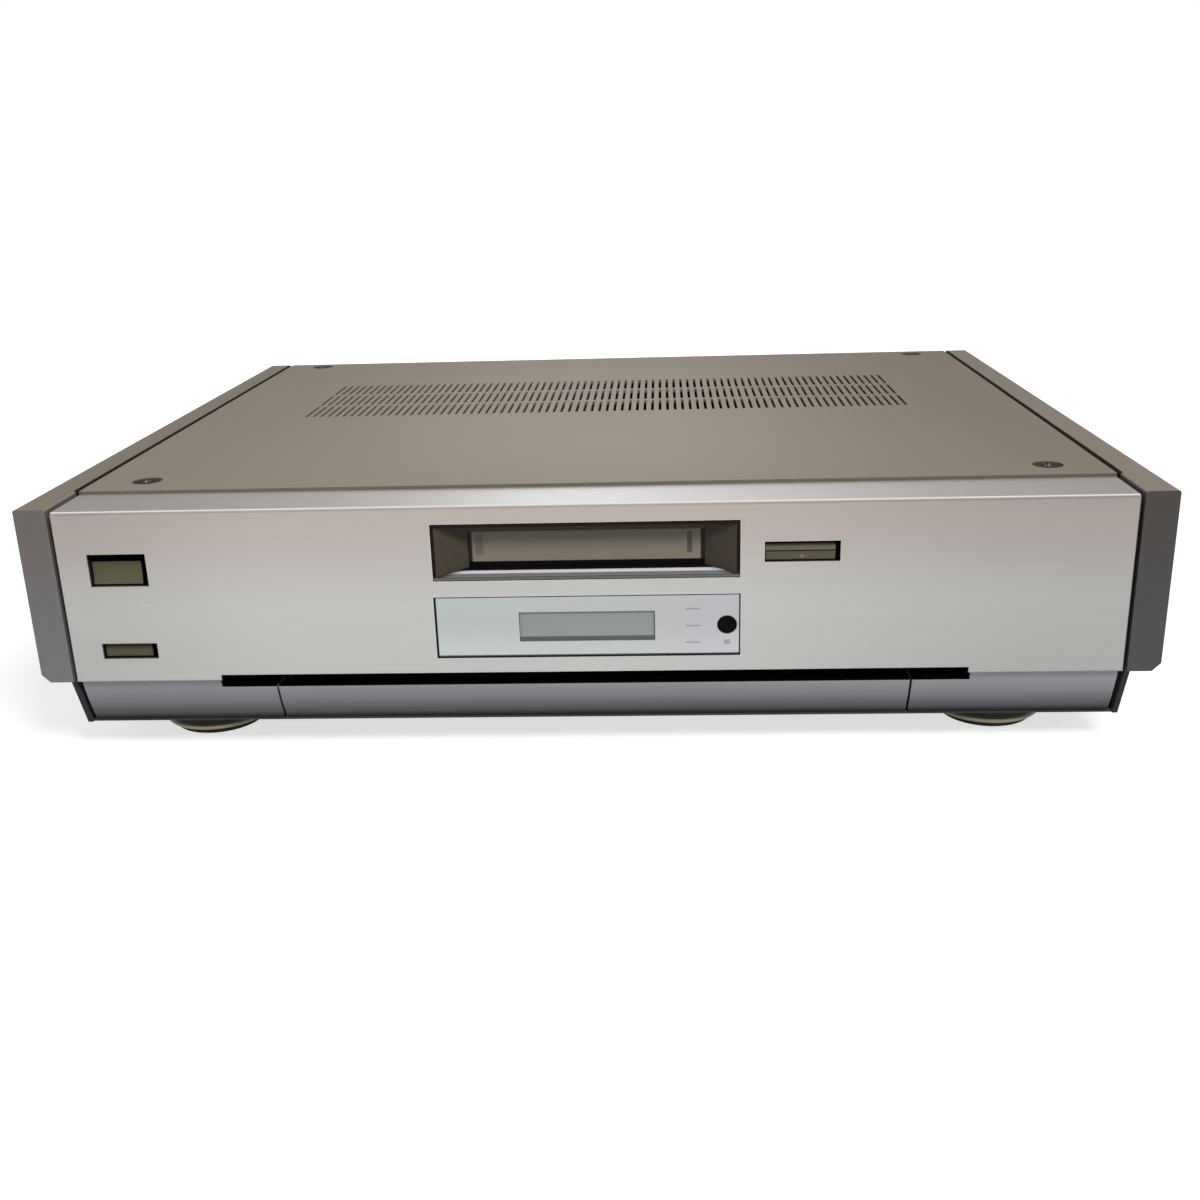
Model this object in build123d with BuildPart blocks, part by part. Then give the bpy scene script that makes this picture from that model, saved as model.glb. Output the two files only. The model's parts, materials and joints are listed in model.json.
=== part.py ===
from build123d import *
import os

os.makedirs("parts", exist_ok=True)

# Case: overall sizes of the deck
overall_width = 470.0
case_depth = 379.0
body_height = 100.0
foot_height = 13.5
connector_reach = 9.0

# Case: panels
cheek_thickness = 13.5
cheek_height = 76.3
cheek_bevel = 3.5
cheek_edge_radius = 1.0
panel_gap = 1.5
plate_thickness = 2.0
pan_thickness = 1.5
pan_flange = 12.0
fascia_thickness = 4.0
fascia_drop = 1.3
fascia_edge_radius = 1.6
fascia_bevel = 0.5
flange_depth = 30.0
flange_thickness = 4.0
rebate_depth = 28.0
skirt_thickness = 2.2
fit_gap = 0.3

# Chin below the fascia
chin_depth = 16.0
chin_top_setback = 2.2
chin_bottom_setback = 11.5
chin_curve = 3.6
chin_end_gap = 1.2
chin_lip_setback = 12.5
drawer_gap = 1.0

# Finger slot between fascia and drawer
slot_width = 314.0
slot_height = 6.8
slot_in_fascia = 2.6
slot_depth = 18.5
liner_thickness = 1.5

# Vent field and screws of the top plate
vent_columns = 80
vent_rows = 3
vent_pitch = 4.1
vent_width = 1.5
vent_length = 30.0
vent_bridge = 4.0
vent_start = 190.0
screw_inset = 25.0
screw_front_depth = 48.0
screw_back_inset = 11.0
screw_recess_radius = 6.5
screw_recess_depth = 1.2
screw_head_radius = 6.1
screw_shank_radius = 2.0
screw_shank_length = 4.0
rear_screw_inset = 9.0
rear_screw_radius = 1.5
rear_screw_head_radius = 3.0
rear_screw_head_height = 1.6
rear_screw_length = 4.0
rear_flange = 22.0

# Feet
foot_radius = 24.0
foot_side_inset = 58.0
foot_front_inset = 48.0
foot_back_inset = 52.0
foot_ring_height = 6.0
foot_ring_thickness = 2.5
foot_ring_lift = 1.0
foot_ring_edge = 0.8
foot_pad_thickness = 2.0
foot_pad_radius = 20.0

# Controls on the fascia: inset from its left end or offset from the bezel, and drop below the top
power_inset = 25.25
power_drop = 26.5
power_width = 24.5
power_height = 14.0
power_scoop_radius = 26.0
power_scoop_depth = 0.9
timer_inset = 25.35
timer_drop = 62.3
timer_width = 23.7
timer_height = 6.8
timer_slope = 1.0
button_recess = 2.4
eject_offset = 25.0
eject_drop = 22.6
eject_width = 30.4
eject_height = 8.6
eject_recess = 0.8
eject_groove = 0.8
eject_brow = 2.2
eject_chin = 1.2
button_gap = 0.4
button_travel = 1.2
button_flange = 1.5
button_flange_thickness = 1.2
stem_radius = 2.0

# Cassette bezel and door
cassette_width = 95.0
cassette_depth = 62.5
cassette_thickness = 15.0
bezel_x = -0.3
bezel_drop = 21.1
bezel_width = 126.0
bezel_height = 24.2
bezel_depth = 8.0
bezel_mouth_width = 97.6
bezel_mouth_height = 18.2
bezel_mouth_rise = 0.6
bezel_rim = 1.2
bezel_flange = 2.0
bezel_flange_thickness = 1.4
door_thickness = 2.0
door_lap = 0.9
door_barrel_radius = 2.2
door_pin_radius = 1.2
pin_clearance = 0.06
door_ear_thickness = 2.5
door_ear_depth = 5.5

# Display
display_x = -0.45
display_drop = 53.7
display_width = 126.7
display_height = 27.0
display_gap = 0.5
window_width = 56.3
window_height = 13.0
window_recess = 0.8
window_thickness = 2.0
infrared_inset = 5.5
infrared_radius = 4.1
infrared_edge_radius = 1.0
frame_thickness = 2.5
front_board_depth = 15.0
board_thickness = 1.6
switch_size = 6.0
switch_height = 4.0
plunger_radius = 1.6
plunger_height = 1.0

# Control drawer
drawer_width = 267.8
drawer_travel = 105.0
drawer_lip = 4.5
tray_width = 250.0
tray_hold = 35.0
tray_height = 11.5
tray_wall = 2.0
tray_lift = 1.0
rib_reach = 2.4
rib_height = 2.0
rail_width = 7.2
bay_height = 19.5
bay_length = 175.0
drawer_board_drop = 5.5
boss_radius = 2.5
boss_inset = 8.0

# Transport keys, jog dial and shuttle ring on the drawer
key_width = 26.0
key_length = 12.0
key_columns = 3
key_rows = 2
key_pitch_x = 31.0
key_pitch_y = 20.0
key_rise = 2.0
key_travel = 0.8
key_flange = 1.0
key_flange_thickness = 0.6
keys_inset = 55.0
keys_depth = 58.0
dial_inset = 55.0
dial_depth = 60.0
shuttle_radius = 26.0
shuttle_sleeve = 22.0
shuttle_rise = 3.6
jog_radius = 15.0
jog_rise = 4.6
jog_shaft_radius = 3.0
dimple_radius = 5.0
dimple_offset = 8.5
dimple_depth = 1.2
dimple_taper = 30.0
encoder_radius = 8.0

# Tape mechanism
holder_front = 33.5
holder_wall = 1.2
holder_play = 0.75
holder_lip = 7.0
holder_drop = 17.4
carriage_travel = 30.0
carriage_wall = 1.5
carriage_length = 62.5
carriage_rise = 6.0
stud_radius = 2.5
stud_inset = 8.0
slide_gap = 0.5
deck_thickness = 1.6
deck_front = 22.0
deck_margin = 12.5
deck_width = 150.0
deck_side_length = 104.0
reel_spacing = 47.0
reel_radius = 16.0
reel_disc = 2.6
reel_hub_radius = 5.0
reel_hub_height = 6.0
reel_spindle_radius = 3.0
reel_spindle_height = 5.0
reel_post_radius = 1.5
spline_count = 6
spline_width = 1.2
spline_reach = 1.0
running_gap = 0.05
drum_x = -5.0
drum_offset = 26.5
drum_radius = 20.0
drum_tilt = 5.0
drum_seat = 5.0
drum_edge = 1.0
lower_drum_height = 15.0
upper_drum_height = 9.0
drum_gap = 0.4
drum_shaft_radius = 3.0
drum_shaft_length = 8.0
capstan_offset = 41.0
capstan_lead = 16.0
capstan_radius = 1.5
capstan_height = 26.0
flywheel_radius = 17.0
flywheel_thickness = 4.0
bearing_radius = 4.0
bearing_drop = 3.0
pinch_radius = 5.0
pinch_height = 12.0
pinch_gap = 4.0
arm_length = 22.0
arm_pivot_radius = 3.0
arm_thickness = 2.0
arm_width = 8.0
motor_side_inset = 9.3
motor_back_inset = 13.0
motor_radius = 9.0
motor_length = 26.0
motor_edge = 0.5
motor_shaft_radius = 1.0
motor_shaft_length = 8.0
guide_offsets = [(-31.0, -10.0), (-25.0, -20.0), (31.0, -22.0), (29.0, -8.0)]
guide_radius = 2.5
guide_flange_radius = 3.6
guide_flange_thickness = 1.5
guide_height = 18.0
guide_collar_rise = 4.5

# Boards and power supply
board_lift = 12.0
standoff_radius = 3.5
board_start = 215.0
board_end_gap = 16.0
power_board_width = 139.0
boards_gap = 15.0
board_side_gap = 6.0
board_reach = 18.0
board_ceiling = 100.0
chip_size = 24.0
chip_height = 3.0
chip_pitch = 48.0
chip_columns = 5
chip_rows = 2
core_width = 54.0
core_depth = 26.0
core_height = 44.0
core_leg = 9.0
core_side_inset = 39.0
core_front_inset = 40.0
fin_count = 7
fin_thickness = 1.6
fin_reach = 18.0
sink_length = 84.0
sink_height = 46.0
sink_web = 3.2
sink_front_inset = 90.0
capacitor_radius = 11.0
capacitor_height = 34.0
capacitor_edge_radius = 1.5
capacitor_count = 2
capacitor_inset = 25.0
capacitor_pitch = 30.0

# Rear connectors
phono_shell_radius = 4.15
phono_core_radius = 1.6
phono_pitch = 18.0
phono_columns = 6
phono_rows = 2
phono_inset = 91.5
phono_height = 52.0
phono_block_depth = 11.0
phono_block_margin = 9.0
phono_boss_radius = 5.2
phono_boss_rise = 0.6
inlet_inset = 36.5
inlet_height = 42.0
inlet_width = 17.5
inlet_opening_height = 9.0
inlet_wall = 2.5
inlet_depth = 12.0
inlet_pin_radius = 1.2
inlet_pin_spacing = 8.6

# Places worked out from the sizes above
front_y = -(case_depth + connector_reach) / 2
top_z = foot_height + body_height
inner_half = overall_width / 2 - cheek_thickness
panel_half = inner_half - panel_gap
fascia_bottom = top_z - cheek_height
fascia_top = top_z - fascia_drop
slot_top = fascia_bottom + slot_in_fascia
slot_bottom = slot_top - slot_height
plate_bottom = top_z - plate_thickness
floor_top = foot_height + pan_thickness
pan_front = chin_depth + fit_gap
panel_inside = case_depth - pan_thickness
chin_half = inner_half - pan_thickness - chin_end_gap
bay_front = slot_depth + liner_thickness + fit_gap
bay_roof = floor_top + bay_height
bay_top = bay_roof + pan_thickness
flange_bottom = plate_bottom - flange_thickness
flange_back = flange_depth + rebate_depth


def facing(depth=0.0):
    """Plane seen from the front: local x runs right and local y is height."""
    return Plane(origin=(0, front_y + depth, 0), x_dir=(1, 0, 0), z_dir=(0, -1, 0))


def across(x=0.0):
    """Plane seen from the side: local x is depth behind the fascia, local y is height."""
    return Plane(origin=(x, front_y, 0), x_dir=(0, 1, 0), z_dir=(1, 0, 0))


def level(height=0.0):
    """Plane seen from above: local x runs right, local y is depth behind the fascia."""
    return Plane(origin=(0, front_y, height), x_dir=(1, 0, 0), z_dir=(0, 0, 1))


def finish(builder, name):
    """Label the finished piece and write it to its own file."""
    builder.part.label = name
    export_step(builder.part, f"parts/{name}.step")


def bar(plane, spans, length):
    """Straight block on a plane from (x0, y0, x1, y1), run back along the plane's normal."""
    x0, y0, x1, y1 = spans
    with BuildSketch(plane) as section:
        with Locations(((x0 + x1) / 2, (y0 + y1) / 2)):
            Rectangle(x1 - x0, y1 - y0)
    extrude(section.sketch, amount=length)


def chin_front(height):
    """Depth of the chin's curved front face at a height."""
    drop = (fascia_bottom - height) / (fascia_bottom - foot_height)
    slope = chin_top_setback + (chin_bottom_setback - chin_top_setback) * drop
    return slope - chin_curve * drop * (1 - drop)


def chin_outline(bottom, top):
    """Front curve of the chin between two heights."""
    middle = (bottom + top) / 2
    ThreePointArc((chin_front(bottom), bottom), (chin_front(middle), middle), (chin_front(top), top))


# Side cheeks: solid aluminium bars with a bevelled lower edge
for side, name in ((-1, "left_cheek"), (1, "right_cheek")):
    outer = side * overall_width / 2
    inner = side * inner_half
    with BuildPart() as cheek:
        with BuildSketch(facing(case_depth)):
            with BuildLine():
                Polyline(
                    (inner, fascia_bottom),
                    (outer - side * cheek_bevel, fascia_bottom),
                    (outer, fascia_bottom + cheek_bevel),
                    (outer, top_z),
                    (inner, top_z),
                    close=True,
                )
            make_face()
        extrude(amount=case_depth)
        top_edges = cheek.edges().filter_by(Axis.Y).group_by(Axis.Z)[-1]
        fillet(top_edges, radius=cheek_edge_radius)
    finish(cheek, name)

# Skirts: side strips under the cheeks with a nose that follows the chin's slope
with BuildPart() as side_skirts:
    for side in (-1, 1):
        with BuildSketch(across(side * inner_half)):
            with BuildLine():
                Polyline(
                    (chin_top_setback, fascia_bottom),
                    (chin_bottom_setback, foot_height),
                    (case_depth, foot_height),
                    (case_depth, fascia_bottom),
                    close=True,
                )
            make_face()
        extrude(amount=side * skirt_thickness)
finish(side_skirts, "side_skirts")

# Base pan: folded steel with side walls, top flanges, board standoffs and a lip under the chin
board_top = floor_top + board_lift
board_end = case_depth - board_end_gap
main_board_right = inner_half - pan_thickness - board_side_gap
power_board_left = -main_board_right
power_board_right = power_board_left + power_board_width
main_board_left = power_board_right + boards_gap
standoff_spots = [
    (x, y)
    for x in (
        power_board_left + standoff_radius,
        power_board_right - standoff_radius,
        main_board_left + standoff_radius,
        main_board_right - standoff_radius,
    )
    for y in (board_start + standoff_radius, board_end - standoff_radius)
]
foot_spots = [
    (x, y)
    for x in (-overall_width / 2 + foot_side_inset, overall_width / 2 - foot_side_inset)
    for y in (foot_front_inset, case_depth - foot_back_inset)
]
with BuildPart() as base_pan:
    with BuildSketch(facing(panel_inside)):
        with BuildLine():
            Polyline(
                (inner_half, foot_height),
                (inner_half, plate_bottom),
                (inner_half - pan_flange, plate_bottom),
                (inner_half - pan_flange, plate_bottom - pan_thickness),
                (inner_half - pan_thickness, plate_bottom - pan_thickness),
                (inner_half - pan_thickness, floor_top),
                (0, floor_top),
                (0, foot_height),
                close=True,
            )
        make_face()
        mirror(about=Plane.YZ)
    extrude(amount=panel_inside - pan_front)
    bar(facing(pan_front), (-inner_half, foot_height, inner_half, floor_top), pan_front - chin_lip_setback)
    with BuildSketch(across(-inner_half)):
        with Locations((flange_back / 2, plate_bottom)):
            Rectangle(flange_back + 2 * fit_gap, 2 * (flange_thickness + fit_gap))
    extrude(amount=2 * inner_half, mode=Mode.SUBTRACT)
    with BuildSketch(level(floor_top)):
        with Locations(*standoff_spots):
            Circle(standoff_radius)
    extrude(amount=board_lift)
finish(base_pan, "base_pan")

# Rear panel: openings for the connectors and a folded flange for the top screws
screw_x = inner_half - screw_inset
screw_spots = [
    (x, y)
    for x in (-screw_x, screw_x)
    for y in (screw_front_depth, case_depth - screw_back_inset)
]
rear_screw_spots = [
    (x, z)
    for x in (-screw_x, 0, screw_x)
    for z in (floor_top + rear_screw_inset, plate_bottom - rear_screw_inset)
]
phono_x = inner_half - phono_inset
phono_spots = [
    (phono_x + (column - (phono_columns - 1) / 2) * phono_pitch,
     phono_height + (row - (phono_rows - 1) / 2) * phono_pitch)
    for column in range(phono_columns)
    for row in range(phono_rows)
]
inlet_x = inlet_inset - inner_half
inlet_outer_width = inlet_width + 2 * inlet_wall
inlet_outer_height = inlet_opening_height + 2 * inlet_wall
with BuildPart() as rear_panel:
    with BuildSketch(facing(case_depth)):
        with Locations((0, (floor_top + plate_bottom) / 2)):
            Rectangle(2 * (inner_half - pan_thickness - fit_gap), plate_bottom - floor_top - fit_gap)
        with Locations(*phono_spots):
            Circle(phono_boss_radius + fit_gap, mode=Mode.SUBTRACT)
        with Locations((inlet_x, inlet_height)):
            Rectangle(
                inlet_outer_width + 2 * fit_gap,
                inlet_outer_height + 2 * fit_gap,
                mode=Mode.SUBTRACT,
            )
        with Locations(*rear_screw_spots):
            Circle(rear_screw_radius + fit_gap, mode=Mode.SUBTRACT)
    extrude(amount=pan_thickness)
    with BuildSketch(level(plate_bottom - pan_thickness)):
        with Locations((0, panel_inside - rear_flange / 2)):
            Rectangle(2 * (inner_half - pan_flange - fit_gap), rear_flange)
        with Locations(*screw_spots):
            Circle(screw_shank_radius + fit_gap, mode=Mode.SUBTRACT)
    extrude(amount=pan_thickness - fit_gap / 2)
finish(rear_panel, "rear_panel")

# Top plate: vent grille and recessed screw seats
vent_pitch_y = vent_length + vent_bridge
vent_centre = vent_start + (vent_rows * vent_pitch_y - vent_bridge) / 2
with BuildPart() as top_plate:
    with BuildSketch(level(plate_bottom)):
        with Locations((0, (flange_depth + fit_gap + case_depth) / 2)):
            Rectangle(2 * panel_half, case_depth - flange_depth - fit_gap)
        with Locations((0, vent_centre)):
            with GridLocations(vent_pitch, vent_pitch_y, vent_columns, vent_rows):
                Rectangle(vent_width, vent_length, mode=Mode.SUBTRACT)
    extrude(amount=plate_thickness)
    with Locations(level(top_z)):
        with Locations(*screw_spots):
            CounterBoreHole(
                radius=screw_shank_radius + fit_gap,
                counter_bore_radius=screw_recess_radius,
                counter_bore_depth=screw_recess_depth,
            )
finish(top_plate, "top_plate")

# Case screws: pan heads on the rear panel and four in the recesses of the top plate
with BuildPart() as case_screws:
    with BuildSketch(facing(case_depth)):
        with Locations(*rear_screw_spots):
            Circle(rear_screw_head_radius)
    extrude(amount=-rear_screw_head_height)
    rear_rims = case_screws.edges().filter_by(GeomType.CIRCLE).group_by(Axis.Y)[-1]
    chamfer(rear_rims, length=rear_screw_head_height / 2)
    with BuildSketch(facing(case_depth)):
        with Locations(*rear_screw_spots):
            Circle(rear_screw_radius)
    extrude(amount=rear_screw_length)
    with BuildSketch(level(top_z - screw_recess_depth)):
        with Locations(*screw_spots):
            Circle(screw_head_radius)
    extrude(amount=screw_recess_depth)
    head_rims = case_screws.edges().filter_by(GeomType.CIRCLE).group_by(Axis.Z)[-1]
    chamfer(head_rims, length=screw_recess_depth / 2)
    with BuildSketch(level(top_z - screw_recess_depth)):
        with Locations(*screw_spots):
            Circle(screw_shank_radius)
    extrude(amount=-screw_shank_length)
finish(case_screws, "case_screws")

# Fascia: extruded front with a top flange, a rebate for the top plate and all cut-outs
power_x = power_inset - panel_half
power_z = top_z - power_drop
timer_x = timer_inset - panel_half
timer_z = top_z - timer_drop
eject_x = bezel_x + bezel_width / 2 + eject_offset
eject_z = top_z - eject_drop
bezel_z = top_z - bezel_drop
display_z = top_z - display_drop
with BuildPart() as fascia:
    with BuildSketch(across(-panel_half)):
        with BuildLine():
            Polyline(
                (0, fascia_bottom),
                (0, fascia_top),
                (flange_depth, fascia_top),
                (flange_depth, plate_bottom),
                (flange_back, plate_bottom),
                (flange_back, flange_bottom),
                (fascia_thickness, flange_bottom),
                (fascia_thickness, fascia_bottom),
                close=True,
            )
        make_face()
    extrude(amount=2 * panel_half)
    nose_edge = fascia.edges().filter_by(Axis.X).sort_by(Axis.Y)[0:2].sort_by(Axis.Z)[-1]
    fillet(nose_edge, radius=fascia_edge_radius)
    front_rim = fascia.faces().sort_by(Axis.Y)[0].edges().sort_by(Axis.Z)[0:3]
    chamfer(front_rim, length=fascia_bevel)
    with BuildSketch(facing()):
        with Locations((power_x, power_z)):
            Rectangle(power_width, power_height)
        with Locations((timer_x, timer_z)):
            Rectangle(timer_width, timer_height)
        with Locations((eject_x, eject_z)):
            Rectangle(eject_width, eject_height)
        with Locations((bezel_x, bezel_z)):
            Rectangle(bezel_width, bezel_height)
        with Locations((display_x, display_z)):
            Rectangle(display_width, display_height)
        with Locations((0, fascia_bottom)):
            Rectangle(slot_width, 2 * slot_in_fascia)
    extrude(amount=-fascia_thickness, mode=Mode.SUBTRACT)
    with BuildSketch(level(flange_bottom)):
        with Locations(*screw_spots):
            Circle(screw_shank_radius + fit_gap)
    extrude(amount=flange_thickness, mode=Mode.SUBTRACT)
finish(fascia, "fascia")

# Front frame: moulded plate behind the fascia that guides the buttons
frame_bottom = slot_top + liner_thickness + fit_gap
frame_top = flange_bottom - fit_gap
frame_back = fascia_thickness + frame_thickness
frame_half = inner_half - fit_gap
infrared_x = display_x + display_width / 2 - infrared_inset
with BuildPart() as front_frame:
    with BuildSketch(facing(frame_back)):
        with Locations((0, (frame_bottom + frame_top) / 2)):
            Rectangle(2 * frame_half, frame_top - frame_bottom)
        with Locations((power_x, power_z)):
            Rectangle(power_width, power_height, mode=Mode.SUBTRACT)
        with Locations((timer_x, timer_z)):
            Rectangle(timer_width, timer_height, mode=Mode.SUBTRACT)
        with Locations((eject_x, eject_z)):
            Rectangle(eject_width, eject_height, mode=Mode.SUBTRACT)
        with Locations((bezel_x, bezel_z)):
            Rectangle(bezel_width, bezel_height, mode=Mode.SUBTRACT)
        with Locations((display_x, display_z)):
            Rectangle(window_width, window_height, mode=Mode.SUBTRACT)
        with Locations((infrared_x, display_z)):
            Circle(infrared_radius, mode=Mode.SUBTRACT)
    extrude(amount=frame_thickness)
    for side in (-1, 1):
        with BuildSketch(facing(pan_front)):
            with Locations((side * (frame_half - frame_thickness / 2), (frame_bottom + frame_top) / 2)):
                Rectangle(frame_thickness, frame_top - frame_bottom)
        extrude(amount=pan_front - frame_back)
finish(front_frame, "front_frame")

# Cassette bezel: funnel that narrows to the mouth, with ears for the door's pins
mouth_z = bezel_z + bezel_mouth_rise
door_half = bezel_mouth_width / 2 + door_lap
door_top = mouth_z + bezel_mouth_height / 2 + door_lap
door_bottom = mouth_z - bezel_mouth_height / 2 - door_lap
door_face = bezel_depth + fit_gap
hinge_depth = door_face + door_barrel_radius
hinge_z = door_top + door_barrel_radius
ear_inner = door_half + fit_gap
ear_outer = ear_inner + door_ear_thickness
ear_bottom = hinge_z - 2 * door_barrel_radius
ear_top = hinge_z + door_barrel_radius
with BuildPart() as cassette_bezel:
    with BuildSketch(facing(bezel_depth)):
        with Locations((bezel_x, bezel_z)):
            Rectangle(bezel_width - 2 * fit_gap, bezel_height - 2 * fit_gap)
    extrude(amount=bezel_depth)
    with BuildSketch(facing(bezel_depth)):
        with Locations((bezel_x, bezel_z)):
            Rectangle(bezel_width + 2 * bezel_flange, bezel_height + 2 * bezel_flange)
    extrude(amount=bezel_flange_thickness)
    with BuildSketch(facing()):
        with Locations((bezel_x, bezel_z)):
            Rectangle(bezel_width - 2 * fit_gap - 2 * bezel_rim, bezel_height - 2 * fit_gap - 2 * bezel_rim)
    with BuildSketch(facing(bezel_depth)):
        with Locations((bezel_x, mouth_z)):
            Rectangle(bezel_mouth_width, bezel_mouth_height)
    loft(mode=Mode.SUBTRACT)
    for side in (-1, 1):
        with BuildSketch(facing(bezel_depth)):
            with Locations((bezel_x + side * (ear_inner + ear_outer) / 2, (ear_bottom + ear_top) / 2)):
                Rectangle(door_ear_thickness, ear_top - ear_bottom)
        extrude(amount=-door_ear_depth)
    with BuildSketch(across(bezel_x)):
        with Locations((hinge_depth, hinge_z)):
            Circle(door_pin_radius + pin_clearance)
    extrude(amount=ear_outer, both=True, mode=Mode.SUBTRACT)
finish(cassette_bezel, "cassette_bezel")

# Cassette door: flap with a hinge barrel along its top and a pin at each end
with BuildPart() as cassette_door:
    with BuildSketch(across(bezel_x)):
        with BuildLine():
            Polyline(
                (door_face, door_bottom),
                (door_face + door_thickness, door_bottom),
                (door_face + door_thickness, hinge_z),
                (door_face, hinge_z),
                close=True,
            )
        make_face()
        with Locations((hinge_depth, hinge_z)):
            Circle(door_barrel_radius)
    extrude(amount=door_half, both=True)
    with BuildSketch(across(bezel_x)):
        with Locations((hinge_depth, hinge_z)):
            Circle(door_pin_radius)
    extrude(amount=ear_outer, both=True)
finish(cassette_door, "cassette_door")

# Display: panel, window, tube module and remote-control lens
with BuildPart() as display_panel:
    with BuildSketch(facing(fascia_thickness)):
        with Locations((display_x, display_z)):
            Rectangle(display_width - 2 * display_gap, display_height - 2 * display_gap)
            Rectangle(window_width, window_height, mode=Mode.SUBTRACT)
        with Locations((infrared_x, display_z)):
            Circle(infrared_radius, mode=Mode.SUBTRACT)
    extrude(amount=fascia_thickness)
    face_rim = display_panel.faces().sort_by(Axis.Y)[0].outer_wire().edges()
    chamfer(face_rim, length=fit_gap)
finish(display_panel, "display_panel")

with BuildPart() as display_window:
    with BuildSketch(facing(window_recess + window_thickness)):
        with Locations((display_x, display_z)):
            Rectangle(window_width - fit_gap, window_height - fit_gap)
    extrude(amount=window_thickness)
finish(display_window, "display_window")

with BuildPart() as display_module:
    with BuildSketch(facing(front_board_depth)):
        with Locations((display_x, display_z)):
            Rectangle(window_width - 2 * fit_gap, window_height - 2 * fit_gap)
    extrude(amount=front_board_depth - window_recess - window_thickness - fit_gap)
finish(display_module, "display_module")

with BuildPart() as infrared_lens:
    with BuildSketch(facing(front_board_depth)):
        with Locations((infrared_x, display_z)):
            Circle(infrared_radius - fit_gap / 2)
    extrude(amount=front_board_depth - fit_gap)
    lens_rim = infrared_lens.faces().sort_by(Axis.Y)[0].edges()
    fillet(lens_rim, radius=infrared_edge_radius)
finish(infrared_lens, "infrared_lens")

# Front buttons: caps guided by the frame, each with a flange behind it and a stem
catch_front = frame_back + fit_gap
catch_back = catch_front + button_flange_thickness
plunger_tip = front_board_depth - switch_height - plunger_height
stem_end = plunger_tip - button_travel - fit_gap


def button_back(x, z, width, height):
    """Flange that keeps a button captive behind the frame, and its stem."""
    with BuildSketch(facing(catch_back)) as flange:
        with Locations((x, z)):
            Rectangle(width + 2 * button_flange, height + 2 * button_flange)
    extrude(flange.sketch, amount=button_flange_thickness)
    with BuildSketch(facing(stem_end)) as stem:
        with Locations((x, z)):
            Circle(stem_radius)
    extrude(stem.sketch, amount=stem_end - catch_front)


with BuildPart() as power_button:
    with BuildSketch(facing(catch_back)):
        with Locations((power_x, power_z)):
            Rectangle(power_width - 2 * button_gap, power_height - 2 * button_gap)
    extrude(amount=catch_back - button_recess)
    with BuildSketch(across(power_x)):
        with Locations((button_recess + power_scoop_depth - power_scoop_radius, power_z)):
            Circle(power_scoop_radius)
    extrude(amount=power_width / 2, both=True, mode=Mode.SUBTRACT)
    button_back(power_x, power_z, power_width, power_height)
finish(power_button, "power_button")

with BuildPart() as timer_button:
    half_height = timer_height / 2 - button_gap
    with BuildSketch(across(timer_x)):
        with BuildLine():
            Polyline(
                (catch_back, timer_z - half_height),
                (button_recess, timer_z - half_height),
                (button_recess, timer_z + half_height / 2),
                (button_recess + timer_slope, timer_z + half_height),
                (catch_back, timer_z + half_height),
                close=True,
            )
        make_face()
    extrude(amount=timer_width / 2 - button_gap, both=True)
    button_back(timer_x, timer_z, timer_width, timer_height)
finish(timer_button, "timer_button")

with BuildPart() as eject_button:
    half_height = eject_height / 2 - button_gap
    with BuildSketch(across(eject_x)):
        with BuildLine():
            Polyline(
                (catch_back, eject_z - half_height),
                (eject_recess + eject_chin, eject_z - half_height),
                (eject_recess, eject_z - eject_groove / 2),
                (eject_recess + eject_groove, eject_z),
                (eject_recess, eject_z + eject_groove / 2),
                (eject_recess + eject_brow, eject_z + half_height),
                (catch_back, eject_z + half_height),
                close=True,
            )
        make_face()
    extrude(amount=eject_width / 2 - button_gap, both=True)
    button_back(eject_x, eject_z, eject_width, eject_height)
finish(eject_button, "eject_button")

# Finger slot: black channel behind the gap
liner_half = slot_width / 2 + liner_thickness
liner_back = slot_depth + liner_thickness
with BuildPart() as finger_slot_liner:
    bar(facing(liner_back), (-liner_half, slot_top, liner_half, slot_top + liner_thickness),
        liner_back - fascia_thickness)
    bar(facing(liner_back), (-liner_half, bay_roof + fit_gap, liner_half, slot_top), liner_thickness)
    for side in (-1, 1):
        x0, x1 = sorted((side * slot_width / 2, side * liner_half))
        bar(facing(liner_back), (x0, slot_bottom, x1, slot_top), liner_back - fascia_thickness)
finish(finger_slot_liner, "finger_slot_liner")

# Chin ends: curved bars standing on the base's lip on both sides of the drawer
drawer_half = drawer_width / 2
with BuildPart() as chin_ends:
    for side in (-1, 1):
        with BuildSketch(across(side * (drawer_half + drawer_gap))):
            with BuildLine():
                chin_outline(floor_top, fascia_bottom)
                Polyline(
                    (chin_front(fascia_bottom), fascia_bottom),
                    (chin_depth, fascia_bottom),
                    (chin_depth, floor_top),
                    (chin_front(floor_top), floor_top),
                )
            make_face()
        extrude(amount=side * (chin_half - drawer_half - drawer_gap))
    with BuildSketch(facing(chin_depth)):
        with Locations((0, slot_bottom + slot_height / 2)):
            Rectangle(2 * liner_half, slot_height)
    extrude(amount=chin_depth, mode=Mode.SUBTRACT)
finish(chin_ends, "chin_ends")

# Drawer front: centre of the chin, with a lip that the fingers pull
tray_bottom = floor_top + tray_lift
tray_top = tray_bottom + tray_height
tray_front = chin_depth - fit_gap
drawer_bottom = floor_top + fit_gap
lip_back = chin_front(slot_bottom) + drawer_lip
with BuildPart() as drawer_front:
    with BuildSketch(across()):
        with BuildLine():
            chin_outline(drawer_bottom, slot_bottom)
            Polyline(
                (chin_front(slot_bottom), slot_bottom),
                (lip_back, slot_bottom),
                (lip_back, tray_top),
                (tray_front, tray_top),
                (tray_front, drawer_bottom),
                (chin_front(drawer_bottom), drawer_bottom),
            )
        make_face()
    extrude(amount=drawer_half, both=True)
finish(drawer_front, "drawer_front")

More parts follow.
